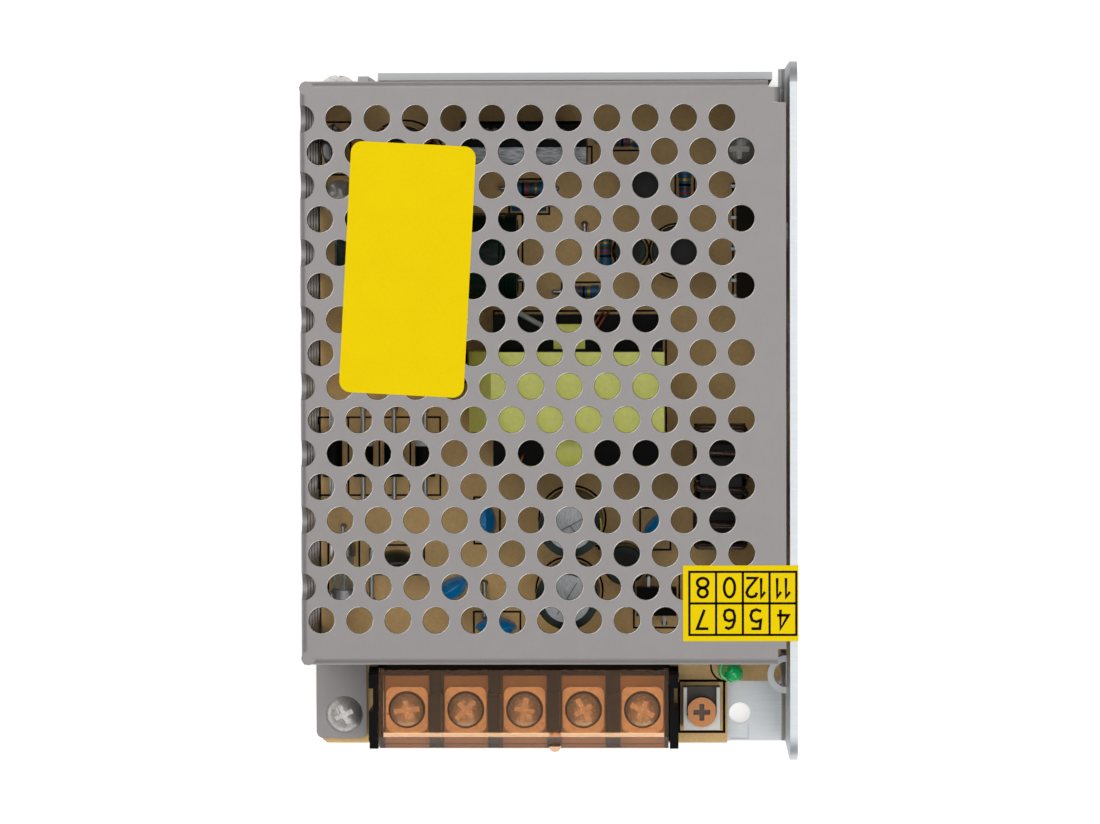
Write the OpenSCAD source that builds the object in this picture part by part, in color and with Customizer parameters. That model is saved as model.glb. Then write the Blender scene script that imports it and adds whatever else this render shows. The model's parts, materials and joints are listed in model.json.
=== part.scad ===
// Mesh-case switching power supply, 60 W class: one circuit board in a folded
// aluminium chassis, under a perforated steel cover.
// Millimetres, +Z up. The origin is the centre of the footprint, on the underside.
// The terminals are at -Y, the rear wall at +Y and the solid side wall at +X.

/* [Case] */
// Width over both side walls
case_w = 78; // [78:1:92]
// Length of the solid side wall
case_l = 110; // [110:1:130]
// Height of the side walls
case_h = 36; // [36:1:46]

/* [Chassis] */
// Thickness of the aluminium sheet
chassis_t = 1.2; // [1:0.1:1.5]
// Inside radius of its folds
chassis_fold_r = 0.8; // [0.5:0.1:1.5]
// Radius of the side wall's upper corners
wall_corner_r = 4; // [1:0.5:8]
// From the side wall's rear end to the rear wall's outer face
rear_wall_inset = 1.7; // [1.5:0.1:4]
// How far the rear wall stops below the top
rear_wall_drop = 2.6; // [1.5:0.1:8]
// Bore of the mounting hole in the base
base_hole_d = 3.5; // [3:0.1:4.5]
// From the side wall's inner face to the mounting hole's axis
base_hole_side = 7.4; // [5:0.1:9]
// From the chassis front edge to the mounting hole's axis
base_hole_front = 4.5; // [3.5:0.1:7]
// Tapping bore of the two side mounting holes
side_hole_d = 2.5; // [2:0.1:4]
// Distance between the two side mounting holes
side_hole_span = 55; // [40:1:60]
// Height of the side mounting holes
side_hole_z = 18; // [15:0.5:22]
// Outer radius of the half-round board catch lanced from the side wall
catch_r = 3.1; // [2.6:0.1:3.6]
// Height of that catch
catch_h = 3.5; // [2:0.1:5]

/* [Mesh cover] */
// Thickness of the cover sheet
cover_t = 0.8; // [0.6:0.1:1]
// Outside radius of the cover's folds
cover_fold_r = 1.1; // [1.1:0.1:1.6]
// Length of the terminal bay in front of the cover
front_bay = 15.3; // [15.2:0.1:18]
// Gap between the cover's free edge and the side wall
cover_side_gap = 0.6; // [0.4:0.1:1.2]
// Depth of the front lip
lip_h = 5; // [3:0.5:8]
// Depth of the rear flange
rear_flange_h = 12; // [8:0.5:16]
// Diameter of the vent holes
vent_d = 4.3; // [3:0.1:4.6]
// Vent pitch along a row
vent_pitch = 6; // [5.8:0.1:8]
// Distance between rows
row_pitch = 5.25; // [5.2:0.05:7]
// From the cover's left face to the first whole vent of the first row
vent_side = 6.2; // [5.8:0.1:7]
// From the cover's rear face to the first row
vent_rear = 5.85; // [5:0.05:8]
// Plain margin kept along the cover's free edge
vent_margin = 4.4; // [3:0.1:8]
// Plain margin kept above the bottom edge of the cover's side
vent_foot = 3; // [2:0.5:6]
// Width of the grounding tab at the front left
tab_w = 8.2; // [7.4:0.1:9]
// Length of that tab in front of the lip
tab_l = 14.3; // [12:0.1:14.5]

/* [Circuit board] */
// Thickness of the board
board_t = 1.6; // [1.2:0.1:2]
// Height of the standoffs
standoff_h = 4; // [3.5:0.1:6]
// Diameter of the standoffs
standoff_d = 5.5; // [5:0.1:6]
// Gap between the board and the side wall
board_gap = 0.8; // [0.4:0.1:1.2]
// Size of the board's cut-out over the mounting hole, across
notch_w = 9.5; // [9:0.1:10]
// Size of the same cut-out along the case
notch_l = 10.1; // [9:0.1:10.5]
// How far the leads stand out below the board
lead_out = 1.2; // [0.6:0.1:2]
// Thickness of the insulating film on the chassis floor
film_t = 0.3; // [0.2:0.05:0.5]

/* [Screws] */
// Thread diameter of all screws
screw_d = 3; // [2.5:0.1:3]
// Head diameter of the case and board screws
head_d = 6; // [5:0.1:6.2]
// Head height of those screws
head_h = 2; // [1.6:0.1:2.4]

/* [Terminal block] */
// Gap between the grounding tab and the block
tab_gap = 1.2; // [1:0.1:2]
// Gap between the block and the trimmer
trimmer_gap = 0.85; // [0.6:0.05:1.5]
// Depth of the block
terminal_l = 13.3; // [13:0.1:13.5]
// Height of the clamping floor above the board
terminal_floor_h = 6.8; // [6.5:0.1:9]
// Height of the barriers above that floor
barrier_h = 7; // [7:0.1:8]
// Thickness of the barriers
barrier_t = 2; // [1.6:0.1:2.2]
// Thickness of the two end walls
terminal_end_t = 1.4; // [1.2:0.1:1.6]
// Thickness of the contact strips
contact_t = 0.8; // [0.6:0.1:1]
// Thickness of the clamping plates
clamp_t = 0.8; // [0.6:0.1:1]
// Gap between a terminal screw's head and the barrier beside it
terminal_head_gap = 0.75; // [0.6:0.05:1.2]
// Head height of the terminal screws
terminal_head_h = 2; // [1.8:0.1:2.2]
// Wall thickness of the hinged terminal cover
lid_t = 1; // [0.8:0.1:1.2]

/* [Trimmer and lamp] */
// Width of the trimmer
trimmer_w = 5.9; // [5.8:0.1:6.4]
// Length of the trimmer
trimmer_l = 6.9; // [6.6:0.1:7.4]
// Height of the trimmer's body
trimmer_h = 4.4; // [4:0.1:6]
// Diameter of the trimmer's rotor
rotor_d = 4.2; // [3.8:0.1:4.4]
// Diameter of the power lamp
led_d = 3; // [2:0.1:3.2]
// Height of the power lamp's body
led_h = 5.3; // [4:0.1:6]
// Height of the lamp above the board
led_stand = 3; // [2:0.1:6]
// Lean of the lamp towards the front right corner
led_lean = 12; // [0:1:15]

/* [Transformer] */
// Width of the ferrite core
core_w = 27; // [26:0.5:28]
// Depth of the ferrite core
core_d = 13; // [12:0.1:14]
// Height of the ferrite core
core_h = 20; // [19:0.5:21]
// Width of the core's outer legs
core_leg = 4.6; // [4:0.1:5]
// Length of the bobbin along Y
bobbin_l = 24.4; // [22:0.1:25]

/* [Capacitors and chokes] */
// Diameter of the bulk capacitor
bulk_d = 14; // [12:0.5:14]
// Length of the bulk capacitor
bulk_l = 29; // [24:0.5:29.5]
// Diameter of the output capacitors
out_cap_d = 10; // [8:0.5:10.5]
// Height of the output capacitors
out_cap_h = 20; // [16:0.5:21]
// Outer diameter of the output choke's ring core
choke_d = 18; // [16:0.5:18.5]
// Bore of that ring core
choke_bore = 9; // [8:0.5:10]
// Thickness of that ring core
choke_t = 6.6; // [5:0.1:7]
// Number of turns on the output choke
choke_turns = 16; // [8:1:18]
// Wire diameter of the output choke
choke_wire = 1.1; // [0.8:0.1:1.2]

/* [Labels] */
// Thickness of the labels
label_t = 0.1; // [0.05:0.05:0.2]
// Width of the plain label
label_w = 19.6; // [16:0.1:20]
// Length of the plain label
label_l = 39.4; // [30:0.1:40]
// Length of the number label along the case
number_label_l = 11.9; // [10:0.1:13]
// Width of the number label on the cover
number_label_w = 18; // [14:0.1:20]

/* [Hidden] */
$fn = 48;

// Clearances
fit = 0.15;
thread_gap = 0.05;
fold_join = 0.2;
lead_gap = 0.15;
air = 0.3;
over = 1;

// Case faces
wall_out = case_w / 2;
wall_in = wall_out - chassis_t;
front_y = -case_l / 2;
rear_y = case_l / 2;
fold_out = chassis_t + chassis_fold_r;
rear_out = rear_y - rear_wall_inset;
rear_in = rear_out - chassis_t;

// Cover faces
cover_x0 = -case_w / 2;
cover_x1 = wall_in - cover_side_gap;
cover_y0 = front_y + front_bay;
cover_y1 = rear_in - fit;
cover_top_y0 = cover_y0 + cover_fold_r;
cover_top_y1 = cover_y1 - cover_fold_r;
cover_foot_z = 0.4;
front_notch = [1.3, 2.5];
rear_notch = [1.7, 3.5];
notch_leg_h = 3.5;

// Base plate and the tabs folded up from it
base_x0 = cover_x0 + cover_t + fit;
tab_face_y = cover_y1 - cover_t - fit;
base_y1 = tab_face_y - fold_out;
rear_tab_x = [base_x0 + 0.3, cover_x0 + 7.4];
finger_x = [cover_x0 + 8.2, cover_x0 + 9.9];
rear_wall_x = [cover_x0 + 12.2, wall_in - 2.7];
collar_t = 1.1;
collar_h = 1.4;
rear_tab_h = 21;
finger_h = 20;
rear_screw_z = 17;
rear_flange_foot_z = 10;
rear_flange_leg_x = cover_x0 + 9.2;

// Circuit board
board_z = chassis_t + standoff_h;
board_top = board_z + board_t;
board_x0 = base_x0 + 0.2;
board_x1 = wall_in - board_gap;
board_y0 = front_y + 0.2;
board_y1 = tab_face_y - chassis_t - 0.5;

// Places on the board, from its left edge and from the cover's front: given
// for a board area of this size, they spread with it
board_plan = [74.85, 89];
function plan_x(x) = board_x0 + x * (board_x1 - board_x0) / board_plan[0];
function plan_y(y) = cover_y0 + y * (board_y1 - cover_y0) / board_plan[1];
function plan(p) = [plan_x(p[0]), plan_y(p[1])];
notch_x = wall_in - notch_w;
notch_y = board_y0 + notch_l;
board_corner = 0.8;
lead_foot = board_z - lead_out;

// Front grounding tab of the cover and the screws
tab_x0 = cover_x0 + 0.3;
tab_x1 = tab_x0 + tab_w;
tab_y0 = cover_y0 - tab_l;
tab_corner_r = 1.2;
front_screw = [tab_x0 + tab_w / 2 + 0.45, tab_y0 + 3.9];
board_screw_at = [plan([3.25, 73.7]), plan([68.15, 81.5]), plan([70.35, 5.7])];
standoff_at = concat([front_screw], board_screw_at);
standoff_shank_d = standoff_d - 1.3;
shank_l = 5;
rear_screw_l = 3.2;
rear_head_h = 1.7;
base_hole = [wall_in - base_hole_side, front_y + base_hole_front];
groove_w = 3;
groove_depth = 0.3;
catch_y = cover_y0 - 3.5;
catch_z = board_top + 2;
catch_t = chassis_t * 0.85;

// Trimmer
trimmer_at = [notch_x - 4.2, board_y0 + 5.95];
rotor_at = [trimmer_at[0], trimmer_at[1] - 0.5];
rotor_rise = 0.9;
trimmer_frame_h = 1.4;
trimmer_pin_pitch = [4.4, 4.8];
trimmer_stand = 0.4;
rotor_depth = 2.6;
rotor_head = [4.5, 4.8];
cross_slot = [2.7, 0.8, 0.5];

// Terminal block: it fills the room between the grounding tab and the trimmer
poles = 5;
terminal_x0 = tab_x1 + tab_gap;
terminal_x1 = trimmer_at[0] - trimmer_w / 2 - trimmer_gap;
terminal_x = (terminal_x0 + terminal_x1) / 2;
terminal_in = (terminal_x1 - terminal_x0) / 2 - terminal_end_t;
end_pole_gap = 0.35;
pole_pitch = 2 * (terminal_in + end_pole_gap) / poles;
pole_x = [for (i = [0 : poles - 1]) terminal_x + (i - (poles - 1) / 2) * pole_pitch];
terminal_y1 = cover_y0 - 1.5;
terminal_y0 = terminal_y1 - terminal_l;
floor_z = board_top + terminal_floor_h;
barrier_z = floor_z + barrier_h;
terminal_screw_y = terminal_y0 + 5.9;
pocket_w = pole_pitch - barrier_t;
contact_z = floor_z + contact_t;
clamp_z = contact_z + thread_gap;
clamp_w = pocket_w - 0.8;
clamp_rib = 0.6;
clamp_rib_h = 0.5;
clamp_corner_r = 1.3;
terminal_head_d = pocket_w - 2 * terminal_head_gap;
clamp_l = terminal_head_d + 2 * (clamp_rib + 0.1);
terminal_head_z = clamp_z + clamp_t + thread_gap;
terminal_shank_l = 6;
contact_pin_y = terminal_y1 - 3;
contact_pin = [1.2, 0.8];

// Hinged terminal cover
lid_gap = 0.2;
lid_top = barrier_z + air + lid_t;
lid_half_w = terminal_in - lid_gap;
hinge_y = cover_y0 - 3.3;
hinge_z = lid_top - 2.2;
hinge_pin_d = 1.6;
lid_skirt_foot = barrier_z - 2;
lid_slope = 2.1;
hinge_sweep_r = 2.7;
lid_nub = [5, 2, 0.7];
end_recess_l = 3.6;

// Power lamp
led_at = [notch_x - 0.3, notch_y + 2.4];
led_direction = -27;
led_lead_d = 0.5;

// Transformer
trafo_at = plan([42.25, 42.6]);
trafo_foot = 1.6;
trafo_z0 = board_top + trafo_foot;
yoke_h = core_leg + 0.8;
centre_leg_w = 8;
bobbin_wall = 0.9;
tape_t = 0.2;
tape_slope_w = 3.8;
bobbin_pin_pitch = 5;
bobbin_pins = 5;

// Parts on the board: the bulk capacitor lies midway between transformer and line choke
line_choke_at = plan([13.85, 79.9]);
line_choke_w = 13;
bulk_y = (trafo_at[1] + bobbin_l / 2 + line_choke_at[1] - line_choke_w / 2) / 2;
bulk_x0 = plan_x(3.35);
bulk_lead_pitch = 7.5;
bulk_lead_out = 2.2;
thick_lead_d = 0.8;
out_cap_at = [plan([40.95, 21.4]), plan([40.45, 9.8])];
out_cap_lead_pitch = 5;
sleeve_t = 0.2;
diode_at = [for (i = [0 : 3]) plan([1.95 + 5.05 * i, 31.7])];
diode_d = 3.3;
diode_l = 6.5;
diode_span = 15.4;
sink_l = 20;
sink_x = [plan_x(33.65) - sink_l / 2, plan_x(33.65) + sink_l / 2];
sink_y = plan_y(78.9);
sink_t = 2.5;
sink_h = 21;
sink_foot_in = 3;
sink_foot_d = 1.5;
to220 = [10, 4.4, 9.2];
to220_tab = [10, 1.3, 15.6];
to220_lead_pitch = 2.54;
to220_lead_out = to220[1] * 0.6;
to220_hole_drop = 3;
to220_hole_d = screw_d + 0.6;
to220_stand = 4;
transistor_x = [sink_x[0] + to220[0] / 2 - 0.2, sink_x[1] - to220[0] / 2];
transistor_z = board_top + to220_stand;
rectifier_y = plan_y(47.7);
pad_t = 0.2;
pad_margin = 1;
choke_at = plan([64.95, 27.1]);
line_choke_h = 12;
line_choke_wire = 0.7;
line_choke_leads = [8, 8];
film_cap = [16.4, 8, 13.5];
film_cap_gap = 1.5;
film_cap_at = [
    trafo_at[0] - core_w / 2 - tape_slope_w - tape_t - film_cap_gap - film_cap[0] / 2,
    plan_y(48.2)
];
film_cap_lead_pitch = 12.5;
disc_d = 7;
disc_t = 3.4;
disc_stand = 1.4;
disc_lead_pitch = 5;
disc_at = [plan([27.05, 21.2]), plan([21.45, 10.3]), plan([28.65, 4.2]), plan([54.45, 19.8])];
disc_angle = [90, 35, 0, 60];
fuse_at = plan([3.65, 12.8]);
fuse_d = 3.6;
fuse_l = 10;
fuse_cap_l = 2.2;
fuse_span = 15;
thermistor_at = plan([12.5, 14.8]);
varistor_at = plan([2.6, 81.8]);
varistor_d = 8;
varistor_t = 4;
resistor_d = 1.9;
resistor_l = 5.6;
resistor_cap_l = 1.3;
resistor_span = 9;
resistor_at = [
    plan([34.05, 75.2]), plan([34.05, 72.6]), plan([49.55, 82.9]),
    plan([59.35, 75.4]), plan([46.45, 65.2]), plan([42.6, 58.4])
];
resistor_angle = [0, 0, 0, 90, 90, 0];
small_cap_at = [plan([52.65, 75.7]), plan([58, 65]), plan([50.6, 65]), plan([49.45, 14.5])];
small_cap_size = [[6.3, 11], [8, 12], [5, 11], [6.3, 11]];
small_cap_lead_pitch = 2.5;
chip_at = plan([70.85, 66.6]);
chip_size = [6.4, 19.3, 3.5];
chip_pins = 8;
chip_row = 7.62;
opto_at = plan([54.65, 8.2]);
opto_size = [6.5, 4.6, 3.5];
opto_pins = 2;
dip_pitch = 2.54;
dip_stand = 0.6;
dip_pin_w = 0.5;
dip_pin_t = 0.3;
dip_mark_d = 1.6;
jumper_d = 0.8;
jumper_rise = 1.2;
jumper_at = [plan([26.65, 8.3]), plan([8.25, 12.3]), plan([43.05, 66.4])];
jumper_l = [5.4, 8, 6];
component_lead_d = 0.7;

// Labels
label_at = [16.9, 29.5];
label_turn = -3.1;
label_corner_r = 1.8;
number_label_y = 9.7;
number_label_drop = 3;

// ---------------------------------------------------------------- helpers

// Quarter of a ring, in the quadrant of +x and +y
module quarter_ring(r_out, t) {
    intersection() {
        difference() {
            circle(r_out);
            circle(r_out - t);
        }
        square(r_out + over);
    }
}

// 2-D outline in (y, z), drawn from x0 to x1
module along_x(x0, x1) {
    translate([x0, 0, 0]) rotate([90, 0, 90]) linear_extrude(x1 - x0) children();
}

// 2-D outline in (x, z), drawn from y0 to y1
module along_y(y0, y1) {
    translate([0, y1, 0]) rotate([90, 0, 0]) linear_extrude(y1 - y0) children();
}

// Rectangle with round corners, from its lower left corner
module round_rect(size, r) {
    translate([r, 0]) square([size[0] - 2 * r, size[1]]);
    translate([0, r]) square([size[0], size[1] - 2 * r]);
    for (x = [r, size[0] - r], y = [r, size[1] - r]) translate([x, y]) circle(r);
}

// Rectangle between two corners
module box2(p, q) {
    translate(p) square([q[0] - p[0], q[1] - p[1]]);
}

// Domed screw head that sits on z = 0, with a cross recess
module cross_head(d, h, slot = 0) {
    dome_r = (d * d / 4 + h * h) / (2 * h);
    difference() {
        intersection() {
            translate([0, 0, h - dome_r]) sphere(dome_r, $fn = 96);
            cylinder(d = d, h = h);
        }
        for (a = [0, 90]) rotate(a) translate([-d * 0.27, -d * 0.07, h * 0.45])
            cube([d * 0.54, d * 0.14, h]);
        if (slot > 0) translate([-d, -slot / 2, h * 0.62]) cube([2 * d, slot, h]);
    }
}

// Pan-head screw, its head seat at z = 0
module pan_screw(l, head = [head_d, head_h], slot = 0) {
    cross_head(head[0], head[1], slot);
    translate([0, 0, -l]) cylinder(d = screw_d - 2 * thread_gap, h = l + head[1] * 0.3);
}

// Straight leads through the board, from z0 down to the solder side
module leads(points, z0, d = component_lead_d) {
    for (p = points) translate([p[0], p[1], lead_foot])
        cylinder(d = d, h = z0 - lead_foot, $fn = 24);
}

// Two lead positions around a centre, at an angle
function pair(at, pitch, angle = 0) = [
    for (s = [-0.5, 0.5]) [at[0] + s * pitch * cos(angle), at[1] + s * pitch * sin(angle)]
];
function flat(lists) = [for (l = lists) each l];

// Body of an axial part along X, with rolled shoulders
module axial_body(d, l, waist = 0) {
    rotate([0, 90, 0]) translate([0, 0, -l / 2]) {
        cylinder(d = d, h = l);
        if (waist > 0) for (z = [0, l - waist]) translate([0, 0, z])
            cylinder(d = d * 1.16, h = waist);
    }
}

// Axial part lying on the board, with its two leads bent down
module axial_part(at, d, l, span, angle, lead_d = component_lead_d, waist = 0) {
    z = board_top + d * 0.58 + 0.1;
    translate([at[0], at[1], 0]) rotate(angle) {
        translate([0, 0, z]) axial_body(d, l, waist);
        translate([-span / 2, 0, z]) rotate([0, 90, 0]) cylinder(d = lead_d, h = span, $fn = 24);
        for (s = [-1, 1]) translate([s * span / 2, 0, lead_foot])
            cylinder(d = lead_d, h = z - lead_foot, $fn = 24);
        for (s = [-1, 1]) translate([s * span / 2, 0, z]) sphere(d = lead_d, $fn = 24);
    }
}

// ---------------------------------------------------------------- chassis

module folded_tab(x, face_y, h) {
    along_x(x[0], x[1]) {
        box2([base_y1 - over, 0], [face_y - fold_out, chassis_t]);
        translate([face_y - fold_out, fold_out]) mirror([0, 1]) quarter_ring(fold_out, chassis_t);
        box2([face_y - chassis_t, fold_out], [face_y, h]);
    }
}

module side_wall_outline() {
    r = wall_corner_r;
    box2([front_y, fold_out], [rear_y, case_h - r]);
    box2([front_y + r, fold_out], [rear_y - r, case_h]);
    for (y = [front_y + r, rear_y - r]) translate([y, case_h - r]) circle(r);
}

module base_plate() {
    linear_extrude(chassis_t) difference() {
        box2([base_x0, front_y], [wall_out - fold_out, base_y1]);
        translate(base_hole) circle(d = base_hole_d);
        for (p = standoff_at) translate(p) circle(d = standoff_shank_d + 2 * thread_gap);
    }
}

module side_wall() {
    difference() {
        union() {
            along_x(wall_in, wall_out) side_wall_outline();
            for (s = [-1, 1]) translate([wall_in, s * side_hole_span / 2, side_hole_z])
                rotate([0, -90, 0]) cylinder(d = side_hole_d + 2 * collar_t, h = collar_h);
        }
        for (s = [-1, 1]) translate([wall_out + over, s * side_hole_span / 2, side_hole_z])
            rotate([0, -90, 0]) cylinder(d = side_hole_d, h = chassis_t + collar_h + 2 * over);
        translate([wall_out + over, rectifier_y, rectifier_hole_z]) rotate([0, -90, 0])
            cylinder(d = screw_d, h = chassis_t + 2 * over);
        translate([wall_in - over, catch_y - catch_r + catch_t, catch_z])
            cube([chassis_t + 2 * over, 2 * (catch_r - catch_t), catch_h]);
    }
}

module board_catch() {
    translate([wall_in, catch_y, catch_z]) linear_extrude(catch_h) intersection() {
        difference() {
            circle(catch_r);
            circle(catch_r - catch_t);
        }
        translate([-catch_r - over, -catch_r - over])
            square([catch_r + over, 2 * (catch_r + over)]);
    }
}

module chassis() {
    color([0.83, 0.85, 0.87]) difference() {
        union() {
            base_plate();
            along_y(front_y, rear_y) {
                translate([wall_out - fold_out, fold_out]) mirror([0, 1])
                    quarter_ring(fold_out, chassis_t);
                box2([wall_out - fold_out - fold_join, 0], [wall_out - fold_out, chassis_t]);
                box2([wall_in, fold_out], [wall_out, fold_out + fold_join]);
            }
            side_wall();
            board_catch();
            folded_tab(rear_wall_x, rear_out, case_h - rear_wall_drop);
            folded_tab(finger_x, rear_out, finger_h);
            folded_tab(rear_tab_x, tab_face_y, rear_tab_h);
        }
        translate([front_screw[0], tab_face_y + over, rear_screw_z]) rotate([90, 0, 0])
            cylinder(d = screw_d, h = chassis_t + 2 * over);
        translate([base_hole[0] - groove_w / 2, front_y + groove_depth, chassis_t - groove_depth])
            cube([groove_w, base_hole_front - base_hole_d / 2 - groove_depth, over]);
    }
}

// ---------------------------------------------------------------- mesh cover

vent_first_x = cover_x0 + vent_side;
vent_rows = floor((cover_y1 - cover_y0 - vent_rear - vent_d / 2 - 4.5) / row_pitch) + 1;
function row_y(j) = cover_y1 - vent_rear - row_pitch * j;
function row_shift(j) = j % 2 == 0 ? 0 : 0.5;
function row_last(j) =
    floor((cover_x1 - vent_margin - vent_d / 2 - vent_first_x) / vent_pitch + row_shift(j));

// Length of sheet from the first vent to the end of the fold, then down the side
fold_arc = PI / 2 * (cover_fold_r - cover_t / 2);
side_start = vent_side - cover_fold_r + fold_arc;
function side_z(k) = case_h - cover_fold_r - (vent_pitch * k - side_start);
side_room = side_start + case_h - cover_fold_r - cover_foot_z - vent_foot - vent_d / 2;
side_columns = floor(side_room / vent_pitch * 2) / 2;

module top_vents() {
    for (j = [0 : vent_rows - 1]) for (i = [0 : row_last(j)]) {
        translate([vent_first_x + vent_pitch * (i - row_shift(j)), row_y(j)]) circle(d = vent_d);
    }
}

module side_vents() {
    for (j = [0 : vent_rows - 1]) for (k = [2 - row_shift(j) : side_columns])
        translate([row_y(j), side_z(k)]) circle(d = vent_d);
}

module corner_vents() {
    x = vent_first_x - vent_pitch;
    for (j = [0 : 2 : vent_rows - 1]) {
        translate([x, row_y(j), case_h - cover_fold_r])
            cylinder(d = vent_d, h = cover_fold_r + over);
        translate([cover_x0 - over, row_y(j), case_h - cover_fold_r + 0.2]) rotate([0, 90, 0])
            cylinder(d = vent_d, h = over + cover_fold_r);
    }
}

module cover_top() {
    r = cover_fold_r;
    translate([0, 0, case_h - cover_t]) linear_extrude(cover_t) difference() {
        union() {
            box2([cover_x0 + r, cover_top_y0], [cover_x1, cover_top_y1]);
            for (y = [cover_top_y0, cover_top_y1]) translate([cover_x0 + r, y]) circle(r);
        }
        box2([cover_x1 - front_notch[0], cover_y0 - over],
            [cover_x1 + over, cover_y0 + front_notch[1]]);
        box2([cover_x1 - rear_notch[0] - r + cover_t, cover_y1 - rear_notch[1]],
            [cover_x1 + over, cover_y1 + over]);
        top_vents();
    }
}

module cover_side() {
    r = cover_fold_r;
    along_y(cover_top_y0, cover_top_y1) translate([cover_x0 + r, case_h - r]) mirror([1, 0])
        quarter_ring(r, cover_t);
    along_x(cover_x0, cover_x0 + cover_t) difference() {
        box2([cover_top_y0, cover_foot_z], [cover_top_y1, case_h - r]);
        side_vents();
    }
}

// Lip, rear flange and the legs that carry the two screws
module cover_flanges() {
    r = cover_fold_r;
    front_x1 = cover_x1 - front_notch[0];
    rear_x1 = cover_x1 - rear_notch[0] - r;
    along_x(cover_x0 + r, front_x1) translate([cover_top_y0, case_h - r]) mirror([1, 0])
        quarter_ring(r, cover_t);
    along_x(tab_x1 + 1.2, front_x1)
        box2([cover_y0, case_h - lip_h], [cover_y0 + cover_t, case_h - r]);
    along_x(cover_x0 + r, tab_x1)
        box2([cover_y0, case_h - lip_h - 0.8], [cover_y0 + cover_t, case_h - r]);
    along_x(tab_x0, tab_x1) {
        box2([cover_y0, board_top + r], [cover_y0 + cover_t, case_h - r]);
        translate([cover_y0 - r + cover_t, board_top + r]) mirror([0, 1]) quarter_ring(r, cover_t);
    }
    along_x(cover_x0 + r, rear_x1) translate([cover_top_y1, case_h - r]) quarter_ring(r, cover_t);
    along_x(cover_x0 + r, rear_x1)
        box2([cover_y1 - cover_t, case_h - rear_flange_h], [cover_y1, case_h - r]);
    along_x(cover_x0 + r, rear_flange_leg_x)
        box2([cover_y1 - cover_t, rear_flange_foot_z], [cover_y1, case_h - r]);
}

module grounding_tab() {
    translate([0, 0, board_top]) linear_extrude(cover_t) {
        translate([tab_x0, tab_y0]) round_rect([tab_w, tab_l - over], tab_corner_r);
        box2([tab_x0, tab_y0 + 3], [tab_x1, cover_y0 - cover_fold_r + cover_t]);
    }
}

// Short leg folded down beside the rear notch
module notch_leg() {
    r = cover_fold_r;
    x = cover_x1 - rear_notch[0] + cover_t;
    along_y(cover_y1 - rear_notch[1] + 0.2, cover_top_y1) {
        translate([x - r, case_h - r]) quarter_ring(r, cover_t);
        box2([x - cover_t, case_h - notch_leg_h], [x, case_h - r]);
    }
}

module mesh_cover() {
    color([0.59, 0.58, 0.58]) difference() {
        union() {
            cover_top();
            cover_side();
            cover_flanges();
            grounding_tab();
            notch_leg();
        }
        corner_vents();
        translate([front_screw[0], front_screw[1], board_top - over])
            cylinder(d = screw_d + 0.3, h = cover_t + 2 * over);
        translate([front_screw[0], cover_y1 + over, rear_screw_z]) rotate([90, 0, 0])
            cylinder(d = screw_d + 0.3, h = cover_t + 2 * over);
    }
}

// ---------------------------------------------------------------- board and its supports

// Every lead that passes through the board, as [x, y, diameter]
function drilled(points, d) = [for (p = points) [p[0], p[1], d]];
function bobbin_pin_at() = [
    for (i = [0 : bobbin_pins - 1], s = [-1, 1])
        [trafo_at[0] + (i - (bobbin_pins - 1) / 2) * bobbin_pin_pitch,
            trafo_at[1] + s * (bobbin_l / 2 - 1.2)]
];
function chip_pin_at(at, rows, n, along_y) = [
    for (i = [0 : n - 1], s = [-0.5, 0.5])
        along_y ? [at[0] + s * rows, at[1] + (i - (n - 1) / 2) * dip_pitch]
                : [at[0] + (i - (n - 1) / 2) * dip_pitch, at[1] + s * rows]
];
function to220_lead_at(x, y) = [for (i = [-1, 0, 1]) [x + i * to220_lead_pitch, y]];
function sink_foot_at() = [
    for (x = [sink_x[0] + sink_foot_in, sink_x[1] - sink_foot_in]) [x, sink_y + sink_t / 2]
];
function rectifier_lead_at() = [for (i = [-1, 0, 1]) [rectifier_lead_x,
    rectifier_y + i * to220_lead_pitch]];
function trimmer_pin_at() = [
    for (p = [[-0.5, 0.5], [0.5, 0.5], [0, -0.5]])
        [trimmer_at[0] + p[0] * trimmer_pin_pitch[0], trimmer_at[1] + p[1] * trimmer_pin_pitch[1]]
];
function jumper_ends() = [
    for (i = [0 : 2], s = [-0.5, 0.5]) [jumper_at[i][0], jumper_at[i][1] + s * jumper_l[i]]
];
function line_choke_lead_at() = flat([
    for (s = [-0.5, 0.5])
        pair([line_choke_at[0], line_choke_at[1] + s * line_choke_leads[1]], line_choke_leads[0])
]);

transistor_lead_y = sink_y + sink_t + to220_lead_out;
rectifier_lead_x = wall_in - pad_t - to220_lead_out;
rectifier_z = board_top + to220_stand;
rectifier_hole_z = rectifier_z + to220_tab[2] - to220_hole_drop;
choke_outer_r = choke_d / 2 + choke_wire;
line_choke_r = line_choke_w / 2;

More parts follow.
